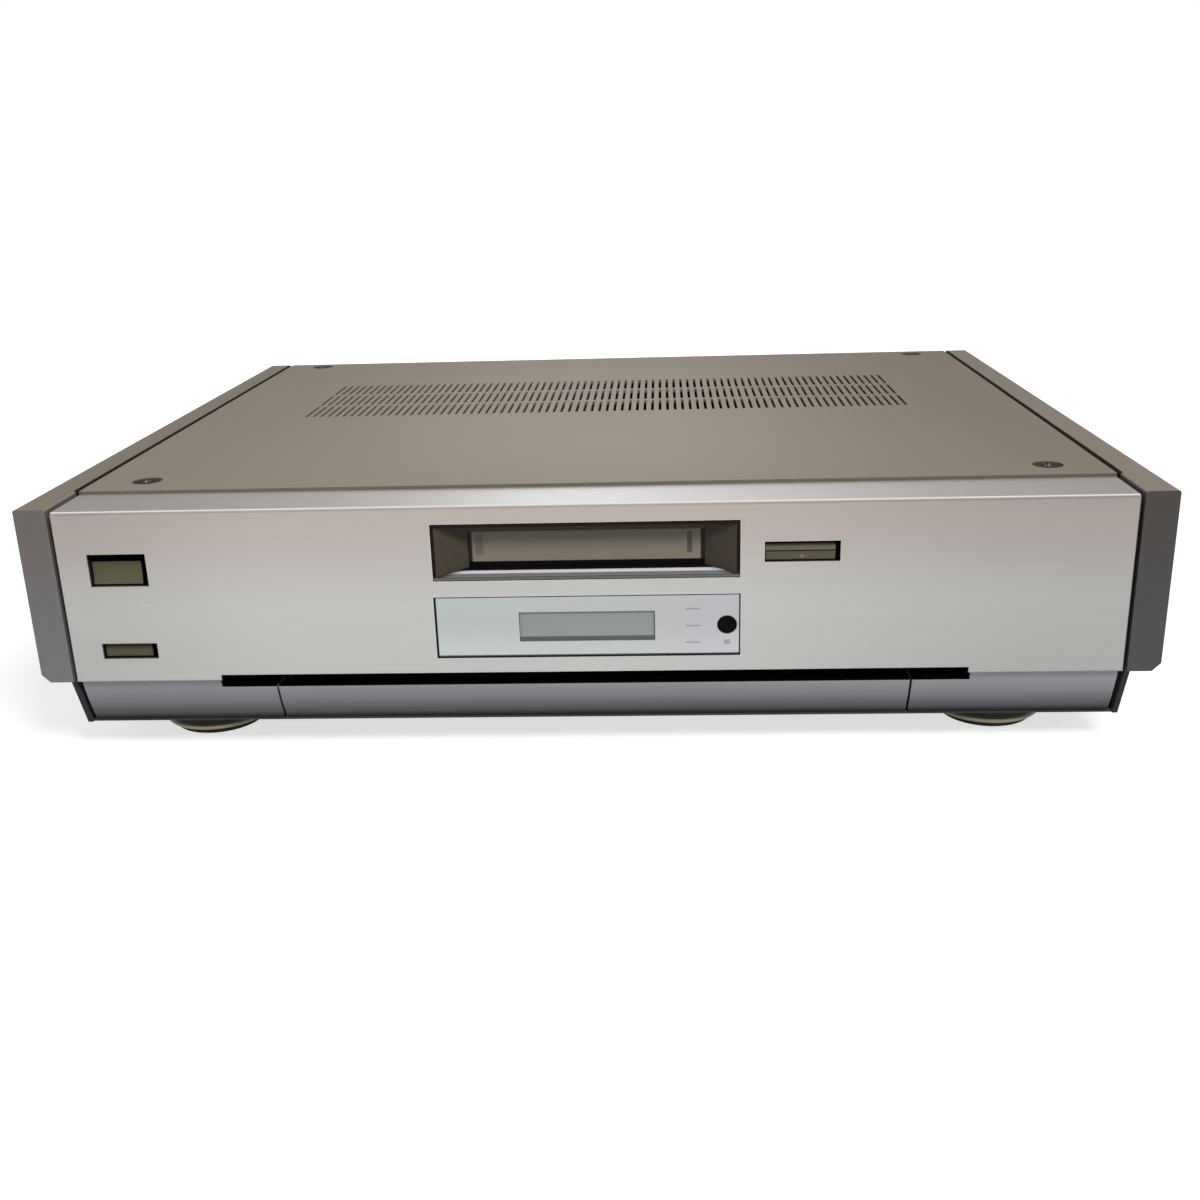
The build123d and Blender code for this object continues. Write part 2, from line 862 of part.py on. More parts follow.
# Drawer tray: four moulded walls, open below, with a runner rib along each side
drawer_board_top = tray_top - drawer_board_drop - tray_wall
tray_length = drawer_travel + tray_hold
tray_back = tray_front + tray_length
keys_x = keys_inset - tray_width / 2
dial_x = tray_width / 2 - dial_inset
key_spots = [
    (keys_x + (column - (key_columns - 1) / 2) * key_pitch_x,
     keys_depth + (row - (key_rows - 1) / 2) * key_pitch_y)
    for row in range(key_rows)
    for column in range(key_columns)
]
with BuildPart() as drawer_tray:
    with BuildSketch(level(tray_bottom)):
        with Locations((0, (tray_front + tray_back) / 2)):
            Rectangle(tray_width, tray_length)
            Rectangle(tray_width - 2 * tray_wall, tray_length - 2 * tray_wall, mode=Mode.SUBTRACT)
    extrude(amount=tray_height - tray_wall)
    rib_middle = tray_bottom + tray_height / 2
    for side in (-1, 1):
        with BuildSketch(facing(tray_back)):
            with Locations((side * (tray_width + rib_reach) / 2, rib_middle)):
                Rectangle(rib_reach, rib_height)
        extrude(amount=tray_length)
finish(drawer_tray, "drawer_tray")

# Drawer top: cover with the holes of the keys and the dial, on four bosses and the tray's walls
with BuildPart() as drawer_top:
    with BuildSketch(level(tray_top)):
        with Locations((0, (tray_front + tray_back) / 2)):
            Rectangle(tray_width, tray_length)
        with Locations(*key_spots):
            Rectangle(key_width + fit_gap * 2, key_length + fit_gap * 2, mode=Mode.SUBTRACT)
        with Locations((dial_x, dial_depth)):
            Circle(shuttle_sleeve + pin_clearance, mode=Mode.SUBTRACT)
    extrude(amount=-tray_wall)
    with BuildSketch(level(drawer_board_top)):
        with Locations((0, (tray_front + tray_back) / 2)):
            with GridLocations(tray_width - 2 * boss_inset, tray_length - 2 * boss_inset, 2, 2):
                Circle(boss_radius)
    extrude(amount=drawer_board_drop)
finish(drawer_top, "drawer_top")

with BuildPart() as drawer_board:
    with BuildSketch(level(drawer_board_top)):
        with Locations((0, (tray_front + tray_back) / 2)):
            Rectangle(tray_width - 2 * tray_wall - 2 * fit_gap, tray_length - 2 * tray_wall - 2 * fit_gap)
    extrude(amount=-board_thickness)
finish(drawer_board, "drawer_board")

# Switches under the keys and the encoder under the dial
key_bottom = tray_top - tray_wall - fit_gap - key_flange_thickness
key_switch_top = key_bottom - key_travel - fit_gap
encoder_height = key_switch_top - drawer_board_top
with BuildPart() as key_switches:
    with BuildSketch(level(drawer_board_top)):
        with Locations(*key_spots):
            Rectangle(switch_size, switch_size)
        with Locations((dial_x, dial_depth)):
            Circle(encoder_radius)
            Circle(jog_shaft_radius + pin_clearance, mode=Mode.SUBTRACT)
    extrude(amount=encoder_height)
finish(key_switches, "key_switches")

# Transport keys: caps with a flange under the tray's deck
key_names = ("rewind_key", "play_key", "fast_forward_key", "record_key", "pause_key", "stop_key")
for name, spot in zip(key_names, key_spots):
    with BuildPart() as key:
        with BuildSketch(level(key_bottom)):
            with Locations(spot):
                Rectangle(key_width + 2 * key_flange, key_length + 2 * key_flange)
        extrude(amount=key_flange_thickness)
        with BuildSketch(level(key_bottom)):
            with Locations(spot):
                Rectangle(key_width, key_length)
        extrude(amount=tray_top + key_rise - key_bottom)
        cap_rim = key.faces().sort_by(Axis.Z)[-1].edges()
        chamfer(cap_rim, length=fit_gap)
    finish(key, name)

# Shuttle ring around the jog dial
with BuildPart() as shuttle_ring:
    with BuildSketch(level(tray_top + fit_gap)):
        with Locations((dial_x, dial_depth)):
            Circle(shuttle_radius)
            Circle(jog_radius + fit_gap, mode=Mode.SUBTRACT)
    extrude(amount=shuttle_rise)
    ring_rim = shuttle_ring.edges().filter_by(GeomType.CIRCLE).group_by(Axis.Z)[-1].sort_by(Edge.length)[-1]
    chamfer(ring_rim, length=shuttle_rise / 2, length2=shuttle_rise)
    with BuildSketch(level(tray_top - tray_wall)):
        with Locations((dial_x, dial_depth)):
            Circle(shuttle_sleeve)
            Circle(jog_radius + fit_gap, mode=Mode.SUBTRACT)
    extrude(amount=tray_wall + fit_gap)
finish(shuttle_ring, "shuttle_ring")

# Jog dial with a finger dimple and its shaft in the encoder
with BuildPart() as jog_dial:
    with BuildSketch(level(tray_top - tray_wall)):
        with Locations((dial_x, dial_depth)):
            Circle(jog_radius)
    extrude(amount=tray_wall + jog_rise)
    dial_rim = jog_dial.faces().sort_by(Axis.Z)[-1].edges()
    chamfer(dial_rim, length=fit_gap * 2)
    with BuildSketch(level(tray_top + jog_rise)):
        with Locations((dial_x, dial_depth - dimple_offset)):
            Circle(dimple_radius)
    extrude(amount=-dimple_depth, mode=Mode.SUBTRACT, taper=dimple_taper)
    with BuildSketch(level(drawer_board_top + fit_gap)):
        with Locations((dial_x, dial_depth)):
            Circle(jog_shaft_radius)
    extrude(amount=tray_top - tray_wall - drawer_board_top - fit_gap)
finish(jog_dial, "jog_dial")

# Drawer bay: folded roof over the drawer that also carries the tape mechanism
rail_inner = tray_width / 2 + fit_gap
rail_outer = rail_inner + rail_width
bay_half = rail_outer + pan_thickness
with BuildPart() as drawer_bay:
    with BuildSketch(facing(bay_front + bay_length)):
        with BuildLine():
            Polyline(
                (0, bay_roof),
                (rail_outer, bay_roof),
                (rail_outer, floor_top),
                (bay_half, floor_top),
                (bay_half, bay_top),
                (0, bay_top),
                close=True,
            )
        make_face()
        mirror(about=Plane.YZ)
    extrude(amount=bay_length)
finish(drawer_bay, "drawer_bay")

# Drawer rails: grooved runners between the tray and the legs of the bay
groove_outer = rail_inner + rib_reach
groove_half = rib_height / 2 + fit_gap
with BuildPart() as drawer_rails:
    with BuildSketch(facing(bay_front + bay_length)):
        for side in (-1, 1):
            with BuildLine():
                Polyline(
                    (side * rail_inner, floor_top),
                    (side * rail_outer, floor_top),
                    (side * rail_outer, tray_top),
                    (side * rail_inner, tray_top),
                    (side * rail_inner, rib_middle + groove_half),
                    (side * groove_outer, rib_middle + groove_half),
                    (side * groove_outer, rib_middle - groove_half),
                    (side * rail_inner, rib_middle - groove_half),
                    close=True,
                )
            make_face()
    extrude(amount=bay_length)
finish(drawer_rails, "drawer_rails")

# Mechanism deck: plate on folded legs with the posts of the reel tables
holder_half = cassette_width / 2 + holder_play
holder_outer = holder_half + holder_wall
carriage_inner = holder_outer + slide_gap
carriage_outer = carriage_inner + carriage_wall
deck_side_inner = carriage_outer + slide_gap
cassette_floor = door_bottom + 2 * door_lap
deck_top = cassette_floor - holder_drop - reel_disc - fit_gap
holder_roof = cassette_floor + cassette_thickness + slide_gap
carriage_roof = holder_roof + holder_wall + slide_gap
side_top = carriage_roof + carriage_wall
reel_depth = holder_front + carriage_travel + cassette_depth / 2
reel_spots = [(bezel_x - reel_spacing / 2, reel_depth), (bezel_x + reel_spacing / 2, reel_depth)]
drum_depth = holder_front + carriage_travel + cassette_depth + drum_offset
deck_back = drum_depth + drum_radius + deck_margin
deck_length = deck_back - deck_front
deck_middle = (deck_front + deck_back) / 2
capstan_x = drum_x + capstan_offset
capstan_depth = drum_depth - capstan_lead
pinch_x = capstan_x + capstan_radius + pinch_gap + pinch_radius
arm_pivot = (pinch_x, capstan_depth + arm_length)
with BuildPart() as mechanism_deck:
    with BuildSketch(level(deck_top - deck_thickness)):
        with Locations((bezel_x, deck_middle)):
            Rectangle(deck_width, deck_length)
        with Locations((capstan_x, capstan_depth)):
            Circle(bearing_radius + running_gap, mode=Mode.SUBTRACT)
    extrude(amount=deck_thickness)
    for side in (-1, 1):
        with BuildSketch(level(bay_top)):
            with Locations((bezel_x + side * (deck_width - pan_thickness) / 2, deck_middle)):
                Rectangle(pan_thickness, deck_length)
        extrude(amount=deck_top - deck_thickness - bay_top)
    with BuildSketch(level(deck_top)):
        with Locations(*reel_spots):
            Circle(reel_post_radius)
    extrude(amount=reel_disc + reel_hub_height + fit_gap)
    with BuildSketch(level(deck_top)):
        with Locations(arm_pivot):
            Circle(arm_pivot_radius)
    extrude(amount=arm_thickness + 2 * fit_gap)
finish(mechanism_deck, "mechanism_deck")

# Deck sides: plates with a long slot each, in which the carriage's studs run
stud_z = (deck_top + side_top) / 2
guide_length = carriage_length - 2 * stud_inset + carriage_travel
guide_middle = holder_front + stud_inset + guide_length / 2
with BuildPart() as deck_sides:
    for side in (-1, 1):
        with BuildSketch(across(bezel_x + side * deck_side_inner)):
            with Locations((deck_front + deck_side_length / 2, (deck_top + side_top) / 2)):
                Rectangle(deck_side_length, side_top - deck_top)
            with Locations((guide_middle, stud_z)):
                SlotCenterToCenter(guide_length, 2 * (stud_radius + fit_gap), mode=Mode.SUBTRACT)
        extrude(amount=side * deck_thickness)
finish(deck_sides, "deck_sides")

# Carriage: bridge that moves back with the cassette
carriage_bottom = deck_top + carriage_rise
with BuildPart() as carriage:
    with BuildSketch(facing(holder_front + carriage_length)):
        with Locations((bezel_x, (carriage_bottom + side_top) / 2)):
            Rectangle(2 * carriage_outer, side_top - carriage_bottom)
        with Locations((bezel_x, (carriage_bottom + carriage_roof) / 2)):
            Rectangle(2 * carriage_inner, carriage_roof - carriage_bottom, mode=Mode.SUBTRACT)
    extrude(amount=carriage_length)
    stud_length = slide_gap + deck_thickness
    for side in (-1, 1):
        with BuildSketch(across(bezel_x + side * carriage_outer)):
            with Locations(
                (holder_front + stud_inset, stud_z),
                (holder_front + carriage_length - stud_inset, stud_z),
            ):
                Circle(stud_radius)
        extrude(amount=side * stud_length)
finish(carriage, "carriage")

# Cassette holder: cage with lips under the cassette's edges
lip_top = cassette_floor - fit_gap
with BuildPart() as cassette_holder:
    with BuildSketch(facing(holder_front + cassette_depth)):
        with BuildLine():
            Polyline(
                (bezel_x, holder_roof + holder_wall),
                (bezel_x + holder_outer, holder_roof + holder_wall),
                (bezel_x + holder_outer, lip_top - holder_wall),
                (bezel_x + holder_half - holder_lip, lip_top - holder_wall),
                (bezel_x + holder_half - holder_lip, lip_top),
                (bezel_x + holder_half, lip_top),
                (bezel_x + holder_half, holder_roof),
                (bezel_x, holder_roof),
                close=True,
            )
        make_face()
        mirror(about=Plane(origin=(bezel_x, front_y, 0), z_dir=(1, 0, 0)))
    extrude(amount=cassette_depth)
finish(cassette_holder, "cassette_holder")

# Reel tables: disc, hub and spindle turning on the deck's posts
for name, spot in zip(("supply_reel_table", "takeup_reel_table"), reel_spots):
    with BuildPart() as reel_table:
        with BuildSketch(level(deck_top + fit_gap)):
            with Locations(spot):
                Circle(reel_radius)
        extrude(amount=reel_disc)
        with BuildSketch(level(deck_top + fit_gap + reel_disc)):
            with Locations(spot):
                Circle(reel_hub_radius)
        extrude(amount=reel_hub_height)
        with BuildSketch(level(deck_top + fit_gap + reel_disc + reel_hub_height)):
            with Locations(spot):
                Circle(reel_spindle_radius)
                with PolarLocations(reel_spindle_radius, spline_count):
                    Rectangle(2 * spline_reach, spline_width)
        extrude(amount=reel_spindle_height)
        with BuildSketch(level(deck_top + fit_gap)):
            with Locations(spot):
                Circle(reel_post_radius + running_gap)
        extrude(amount=reel_disc + reel_hub_height + fit_gap, mode=Mode.SUBTRACT)
    finish(reel_table, name)

# Head drum: fixed lower half on a tilted seat, turning upper half with its shaft
drum_plane = Plane(
    origin=(drum_x, front_y + drum_depth, deck_top),
    x_dir=(1, 0, 0),
    z_dir=Vector(0, 0, 1).rotate(Axis.Y, drum_tilt),
)
shaft_depth = drum_shaft_length + drum_gap
with BuildPart() as lower_drum:
    with BuildSketch(drum_plane.offset(-drum_seat)):
        Circle(drum_radius)
    extrude(amount=drum_seat + lower_drum_height)
    split(bisect_by=Plane.XY.offset(deck_top), keep=Keep.TOP)
    with BuildSketch(drum_plane.offset(lower_drum_height)):
        Circle(drum_shaft_radius + running_gap)
    extrude(amount=-shaft_depth, mode=Mode.SUBTRACT)
finish(lower_drum, "lower_drum")

with BuildPart() as upper_drum:
    with BuildSketch(drum_plane.offset(lower_drum_height + drum_gap)):
        Circle(drum_radius)
    extrude(amount=upper_drum_height)
    drum_rims = upper_drum.edges().filter_by(GeomType.CIRCLE).sort_by(Axis.Z)[-1]
    chamfer(drum_rims, length=drum_edge)
    with BuildSketch(drum_plane.offset(lower_drum_height + drum_gap)):
        Circle(drum_shaft_radius)
    extrude(amount=-drum_shaft_length)
finish(upper_drum, "upper_drum")

# Capstan: shaft in its bearing with a flywheel under the deck
bearing_bottom = deck_top - deck_thickness - bearing_drop
flywheel_top = bearing_bottom - fit_gap
with BuildPart() as capstan_bearing:
    with BuildSketch(level(bearing_bottom)):
        with Locations((capstan_x, capstan_depth)):
            Circle(bearing_radius)
            Circle(capstan_radius + running_gap, mode=Mode.SUBTRACT)
    extrude(amount=deck_thickness + bearing_drop)
finish(capstan_bearing, "capstan_bearing")

with BuildPart() as capstan:
    with BuildSketch(level(flywheel_top)):
        with Locations((capstan_x, capstan_depth)):
            Circle(flywheel_radius)
    extrude(amount=-flywheel_thickness)
    with BuildSketch(level(flywheel_top)):
        with Locations((capstan_x, capstan_depth)):
            Circle(capstan_radius)
    extrude(amount=capstan_height)
finish(capstan, "capstan")

# Pinch roller on its swinging arm
arm_bottom = deck_top + fit_gap
with BuildPart() as pinch_arm:
    with BuildSketch(level(arm_bottom)):
        with BuildLine():
            arm_line = Line((pinch_x, capstan_depth), arm_pivot)
        SlotCenterPoint(arm_line @ 0.5, arm_line @ 1, arm_width)
        with Locations(arm_pivot):
            Circle(arm_pivot_radius + running_gap, mode=Mode.SUBTRACT)
    extrude(amount=arm_thickness)
    with BuildSketch(level(arm_bottom + arm_thickness)):
        with Locations((pinch_x, capstan_depth)):
            Circle(capstan_radius)
    extrude(amount=pinch_height + 2 * fit_gap)
finish(pinch_arm, "pinch_arm")

with BuildPart() as pinch_roller:
    with BuildSketch(level(arm_bottom + arm_thickness + fit_gap)):
        with Locations((pinch_x, capstan_depth)):
            Circle(pinch_radius)
            Circle(capstan_radius + running_gap, mode=Mode.SUBTRACT)
    extrude(amount=pinch_height)
finish(pinch_roller, "pinch_roller")

# Loading motor: can lying on the deck with its shaft
motor_x = bezel_x - deck_width / 2 + motor_side_inset
motor_depth = deck_back - motor_back_inset
with BuildPart() as loading_motor:
    with BuildSketch(across(motor_x)):
        with Locations((motor_depth, deck_top + motor_radius + fit_gap)):
            Circle(motor_radius)
    extrude(amount=motor_length)
    motor_rims = loading_motor.edges().filter_by(GeomType.CIRCLE)
    chamfer(motor_rims, length=motor_edge)
    with BuildSketch(across(motor_x + motor_length)):
        with Locations((motor_depth, deck_top + motor_radius + fit_gap)):
            Circle(motor_shaft_radius)
    extrude(amount=motor_shaft_length)
finish(loading_motor, "loading_motor")

# Tape guides: four flanged posts around the drum
guide_spots = [(drum_x + x, drum_depth + y) for x, y in guide_offsets]
with BuildPart() as tape_guides:
    for height, radius, thickness in (
        (deck_top, guide_radius, guide_height),
        (deck_top + guide_collar_rise, guide_flange_radius, guide_flange_thickness),
        (deck_top + guide_height, guide_flange_radius, guide_flange_thickness),
    ):
        with BuildSketch(level(height)):
            with Locations(*guide_spots):
                Circle(radius)
        extrude(amount=thickness)
finish(tape_guides, "tape_guides")

# Feet: black drums, turned rings around them and rubber pads below
foot_ring_bottom = foot_pad_thickness + foot_ring_lift
with BuildPart() as foot_drums:
    with BuildSketch(level(foot_pad_thickness)):
        with Locations(*foot_spots):
            Circle(foot_radius - foot_ring_thickness)
    extrude(amount=foot_height - foot_pad_thickness)
finish(foot_drums, "foot_drums")

with BuildPart() as foot_rings:
    with BuildSketch(level(foot_ring_bottom)):
        with Locations(*foot_spots):
            Circle(foot_radius)
            Circle(foot_radius - foot_ring_thickness + running_gap, mode=Mode.SUBTRACT)
    extrude(amount=foot_ring_height)
    ring_rims = foot_rings.edges().filter_by(GeomType.CIRCLE).filter_by(
        lambda edge: edge.radius > foot_radius - foot_ring_edge)
    chamfer(ring_rims, length=foot_ring_edge)
finish(foot_rings, "foot_rings")

with BuildPart() as foot_pads:
    with BuildSketch(level()):
        with Locations(*foot_spots):
            Circle(foot_pad_radius)
    extrude(amount=foot_pad_thickness)
finish(foot_pads, "foot_pads")

# Circuit boards: upright front board, main board and power board
board_floor = frame_bottom + fit_gap
board_middle = display_z + display_height / 2
with BuildPart() as circuit_boards:
    with BuildSketch(facing(front_board_depth + board_thickness)):
        with Locations(((power_x + eject_x) / 2, (board_floor + board_middle) / 2)):
            Rectangle(eject_x - power_x + 2 * board_reach, board_middle - board_floor)
        for x in (power_x, eject_x):
            with Locations((x, (board_middle + board_ceiling) / 2)):
                Rectangle(2 * board_reach, board_ceiling - board_middle)
    extrude(amount=board_thickness)
    for left, right in ((main_board_left, main_board_right), (power_board_left, power_board_right)):
        with BuildSketch(level(board_top)):
            with Locations(((left + right) / 2, (board_start + board_end) / 2)):
                Rectangle(right - left, board_end - board_start)
        extrude(amount=board_thickness)
finish(circuit_boards, "circuit_boards")

# Parts on the boards: switches behind the buttons and chips on the main board
board_face = board_top + board_thickness
button_spots = [(power_x, power_z), (timer_x, timer_z), (eject_x, eject_z)]
with BuildPart() as board_parts:
    with BuildSketch(facing(front_board_depth)):
        with Locations(*button_spots):
            Rectangle(switch_size, switch_size)
    extrude(amount=switch_height)
    with BuildSketch(facing(front_board_depth - switch_height)):
        with Locations(*button_spots):
            Circle(plunger_radius)
    extrude(amount=plunger_height)
    with BuildSketch(level(board_face)):
        with Locations(((main_board_left + main_board_right) / 2, (board_start + board_end) / 2)):
            with GridLocations(chip_pitch, chip_pitch, chip_columns, chip_rows):
                Rectangle(chip_size, chip_size)
    extrude(amount=chip_height)
finish(board_parts, "board_parts")

# Mains transformer: laminated core with two windows
transformer_x = power_board_left + core_side_inset
transformer_depth = board_start + core_front_inset
with BuildPart() as transformer_core:
    with BuildSketch(facing(transformer_depth + core_depth / 2)):
        with Locations((transformer_x, board_face + core_height / 2)):
            Rectangle(core_width, core_height)
            with GridLocations(core_width / 2 - core_leg / 2, 0, 2, 1):
                Rectangle(core_leg, core_height - 2 * core_leg, mode=Mode.SUBTRACT)
    extrude(amount=core_depth)
finish(transformer_core, "transformer_core")

# Heat sink: extruded fins on a common web
sink_x = (power_board_left + power_board_right) / 2
sink_depth = board_start + sink_front_inset
with BuildPart() as heat_sink:
    with BuildSketch(level(board_face)):
        with Locations((sink_x, sink_depth)):
            Rectangle(sink_length, sink_web)
            with GridLocations((sink_length - fin_thickness) / (fin_count - 1), 0, fin_count, 1):
                Rectangle(fin_thickness, 2 * fin_reach)
    extrude(amount=sink_height)
finish(heat_sink, "heat_sink")

# Smoothing capacitors beside the transformer
capacitor_spots = [
    (power_board_right - capacitor_inset, board_start + capacitor_inset + place * capacitor_pitch)
    for place in range(capacitor_count)
]
with BuildPart() as smoothing_capacitors:
    with BuildSketch(level(board_face)):
        with Locations(*capacitor_spots):
            Circle(capacitor_radius)
    extrude(amount=capacitor_height)
    can_rims = smoothing_capacitors.edges().group_by(Axis.Z)[-1]
    fillet(can_rims, radius=capacitor_edge_radius)
finish(smoothing_capacitors, "smoothing_capacitors")

# Rear connectors: block with bosses through the panel, shells of the phono sockets, power inlet
boss_face = case_depth + phono_boss_rise
with BuildPart() as phono_block:
    with BuildSketch(facing(panel_inside)):
        with Locations((phono_x, phono_height)):
            Rectangle(
                (phono_columns - 1) * phono_pitch + 2 * phono_block_margin,
                (phono_rows - 1) * phono_pitch + 2 * phono_block_margin,
            )
    extrude(amount=phono_block_depth)
    with BuildSketch(facing(boss_face)):
        with Locations(*phono_spots):
            Circle(phono_boss_radius)
    extrude(amount=boss_face - panel_inside)
finish(phono_block, "phono_block")

with BuildPart() as phono_shells:
    with BuildSketch(facing(case_depth + connector_reach)):
        with Locations(*phono_spots):
            Circle(phono_shell_radius)
            Circle(phono_core_radius, mode=Mode.SUBTRACT)
    extrude(amount=connector_reach - phono_boss_rise)
finish(phono_shells, "phono_shells")

with BuildPart() as power_inlet:
    with BuildSketch(facing(case_depth + inlet_wall / 2)):
        with Locations((inlet_x, inlet_height)):
            Rectangle(inlet_outer_width, inlet_outer_height)
    extrude(amount=inlet_depth + inlet_wall)
    with BuildSketch(facing(case_depth + inlet_wall / 2)):
        with Locations((inlet_x, inlet_height)):
            SlotOverall(inlet_width, inlet_opening_height)
            with GridLocations(inlet_pin_spacing, 0, 2, 1):
                Circle(inlet_pin_radius, mode=Mode.SUBTRACT)
    extrude(amount=inlet_depth, mode=Mode.SUBTRACT)
finish(power_inlet, "power_inlet")
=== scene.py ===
import json
import math

import bmesh
import bpy
import numpy as np
from bpy.props import FloatProperty, FloatVectorProperty, IntProperty, PointerProperty
from mathutils import Matrix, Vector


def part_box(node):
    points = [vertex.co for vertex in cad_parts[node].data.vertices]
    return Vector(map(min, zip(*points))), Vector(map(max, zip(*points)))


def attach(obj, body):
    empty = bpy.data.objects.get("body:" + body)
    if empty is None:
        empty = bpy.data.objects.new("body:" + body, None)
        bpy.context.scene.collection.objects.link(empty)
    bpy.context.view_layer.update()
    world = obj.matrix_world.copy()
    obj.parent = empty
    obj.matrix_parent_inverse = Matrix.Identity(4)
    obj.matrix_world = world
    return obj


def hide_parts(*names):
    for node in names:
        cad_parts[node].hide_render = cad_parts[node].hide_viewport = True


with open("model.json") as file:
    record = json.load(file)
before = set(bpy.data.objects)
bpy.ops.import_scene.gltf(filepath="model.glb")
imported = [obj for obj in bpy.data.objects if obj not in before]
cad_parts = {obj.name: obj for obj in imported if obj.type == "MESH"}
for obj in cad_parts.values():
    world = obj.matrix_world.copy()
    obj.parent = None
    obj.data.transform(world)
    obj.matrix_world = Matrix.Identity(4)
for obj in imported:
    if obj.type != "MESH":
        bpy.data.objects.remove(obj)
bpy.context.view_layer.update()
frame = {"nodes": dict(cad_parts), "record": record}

bl_info = {
    "name": "Cassette deck finishes",
    "version": (1, 0, 0),
    "blender": (4, 5, 0),
    "location": "3D View > Sidebar > Deck",
    "description": "Gives a cassette deck its finishes, its small visible pieces and a plain studio",
    "category": "Object",
}

MM = 0.001
UPWARD = np.eye(3)
BACKWARD = np.array([(-1.0, 0.0, 0.0), (0.0, 0.0, 1.0), (0.0, 1.0, 0.0)])
WHITE = (1.0, 1.0, 1.0)

# The case screws, in millimetres: x of the outer ones, y of the rows on top, z of the rows at the rear
SCREW_X = 196.5
TOP_SCREW_ROWS = (-146.0, 174.0)
REAR_SCREW_ROWS = (24.0, 102.5)


def srgb(code):
    """Linear red, green and blue of a colour written as six hexadecimal digits."""
    shares = [int(code[place:place + 2], 16) / 255 for place in (0, 2, 4)]
    return tuple(s / 12.92 if s <= 0.04045 else ((s + 0.055) / 1.055) ** 2.4 for s in shares)


def rgba(tone):
    """A colour, or the code of one, with full opacity."""
    return (*(srgb(tone) if isinstance(tone, str) else tone)[:3], 1.0)


def shade(colour, factor):
    """The same colour, lighter above 1 and darker below."""
    return tuple(min(1.0, channel * factor) for channel in colour[:3])


def colour(code, name, description):
    """A colour that a user can change."""
    return FloatVectorProperty(
        name=name, description=description, subtype="COLOR", size=3, min=0.0, max=1.0, default=srgb(code))


def length(millimetres, name, description):
    """A length that a user can change."""
    return FloatProperty(
        name=name, description=description, subtype="DISTANCE", unit="LENGTH", min=0.0,
        default=millimetres * MM)


class DeckColours(bpy.types.PropertyGroup):
    """Colours of the deck's finishes."""

    plate: colour("8f8679", "Top plate", "Champagne coating")
    # fascia_top and fascia_foot carry a painted reflection: warmer and darker above, cooler and lighter
    # below.
    fascia_top: colour("a89f9a", "Fascia, top", "Brushed silver, upper edge")
    fascia_foot: colour("b6b6b4", "Fascia, foot", "Brushed silver, lower edge")
    flange: colour("ebe9e8", "Flange", "Polished top of the fascia")
    cheek_top: colour("6a6460", "Cheeks, top", "Anodised grey-brown, upper edge")
    cheek_foot: colour("747377", "Cheeks, foot", "Anodised grey, lower edge")
    chin_top: colour("95959b", "Chin, upper edge", "Blue-grey coating that faces the front")
    # chin_foot is a shaded tone of the chin's coating, painted on the side skirts.
    chin_foot: colour("4e4e53", "Chin, lower edge", "The same coating where the chin turns under")
    steel: colour("39393b", "Base steel", "Coated steel of the pan and rear panel")
    zinc: colour("a9abad", "Zinc", "Zinc plating of the inner sheet parts")
    screw: colour("221f1c", "Screws", "Blackened steel of the screws")
    bezel: colour("5d544a", "Bezel", "Moulded surround of the cassette door")
    bezel_dark: colour("5a4d40", "Bezel, shaded", "The surround's upper slope and its rims")
    sill: colour("dcdde2", "Sill", "Polished strip under the door")
    door: colour("736c60", "Door", "Smoked plastic of the cassette door")
    button: colour("5a5645", "Buttons", "Olive caps of the front buttons")
    black: colour("161617", "Black plastic", "Black moulded plastic")
    panel_left: colour("b5bdb9", "Display panel, left", "Left end of the pale panel")
    panel_right: colour("b2b3b7", "Display panel, right", "Right end of the pale panel")
    window: colour("8d948f", "Display window", "Grey window of the display")
    ring: colour("928b70", "Foot rings", "Turned rings of the feet")
    board: colour("1f5a3c", "Boards", "Solder mask of the circuit boards")
    aluminium: colour("c3c4c6", "Aluminium", "Bare turned aluminium")
    key: colour("8f9194", "Keys", "Grey plastic of the transport keys")
    legend: colour("e2e2df", "Symbols", "Printed symbols on the keys")
    eject_legend: colour("8f8975", "Eject symbol", "Printed symbol on the eject button")
    tray: colour("2c2d2f", "Drawer", "Charcoal plastic of the drawer")
    nickel: colour("bdb9b0", "Nickel", "Nickel plating of the sockets")
    sleeve: colour("22406c", "Capacitor sleeves", "Shrunk sleeves of the capacitors")
    winding: colour("8a4a22", "Winding", "Enamelled wire of the transformer")
    floor: colour("e6e6e4", "Floor", "Pale studio floor")


class DeckSizes(bpy.types.PropertyGroup):
    """Sizes of the small pieces that the frame leaves plain."""

    recess_width: length(1.3, "Recess width", "Width of each arm of the screws' cross recess")
    recess_reach: length(2.7, "Recess reach", "Reach of each arm from the screw's middle")
    recess_depth: length(0.8, "Recess depth", "Depth of the cross recess")
    groove_depth: length(0.25, "Ring grooves", "Depth of the turned grooves round the foot rings")
    grooves: IntProperty(name="Groove count", description="Grooves round each foot ring", default=2, min=1)
    ridge_depth: length(0.45, "Shuttle ridges", "Depth of the finger ridges round the shuttle ring")
    ridges: IntProperty(name="Ridge count", description="Ridges round the shuttle ring", default=72, min=8)
    print_rise: length(0.04, "Print", "Thickness of a printed symbol")
    shell_wall: length(0.55, "Socket wall", "Wall of a phono socket's metal shell")
    insert_drop: length(0.7, "Insert", "How far a socket's coloured insert lies below its rim")
    wire: length(0.9, "Wire", "Pitch of the transformer's wound wire")


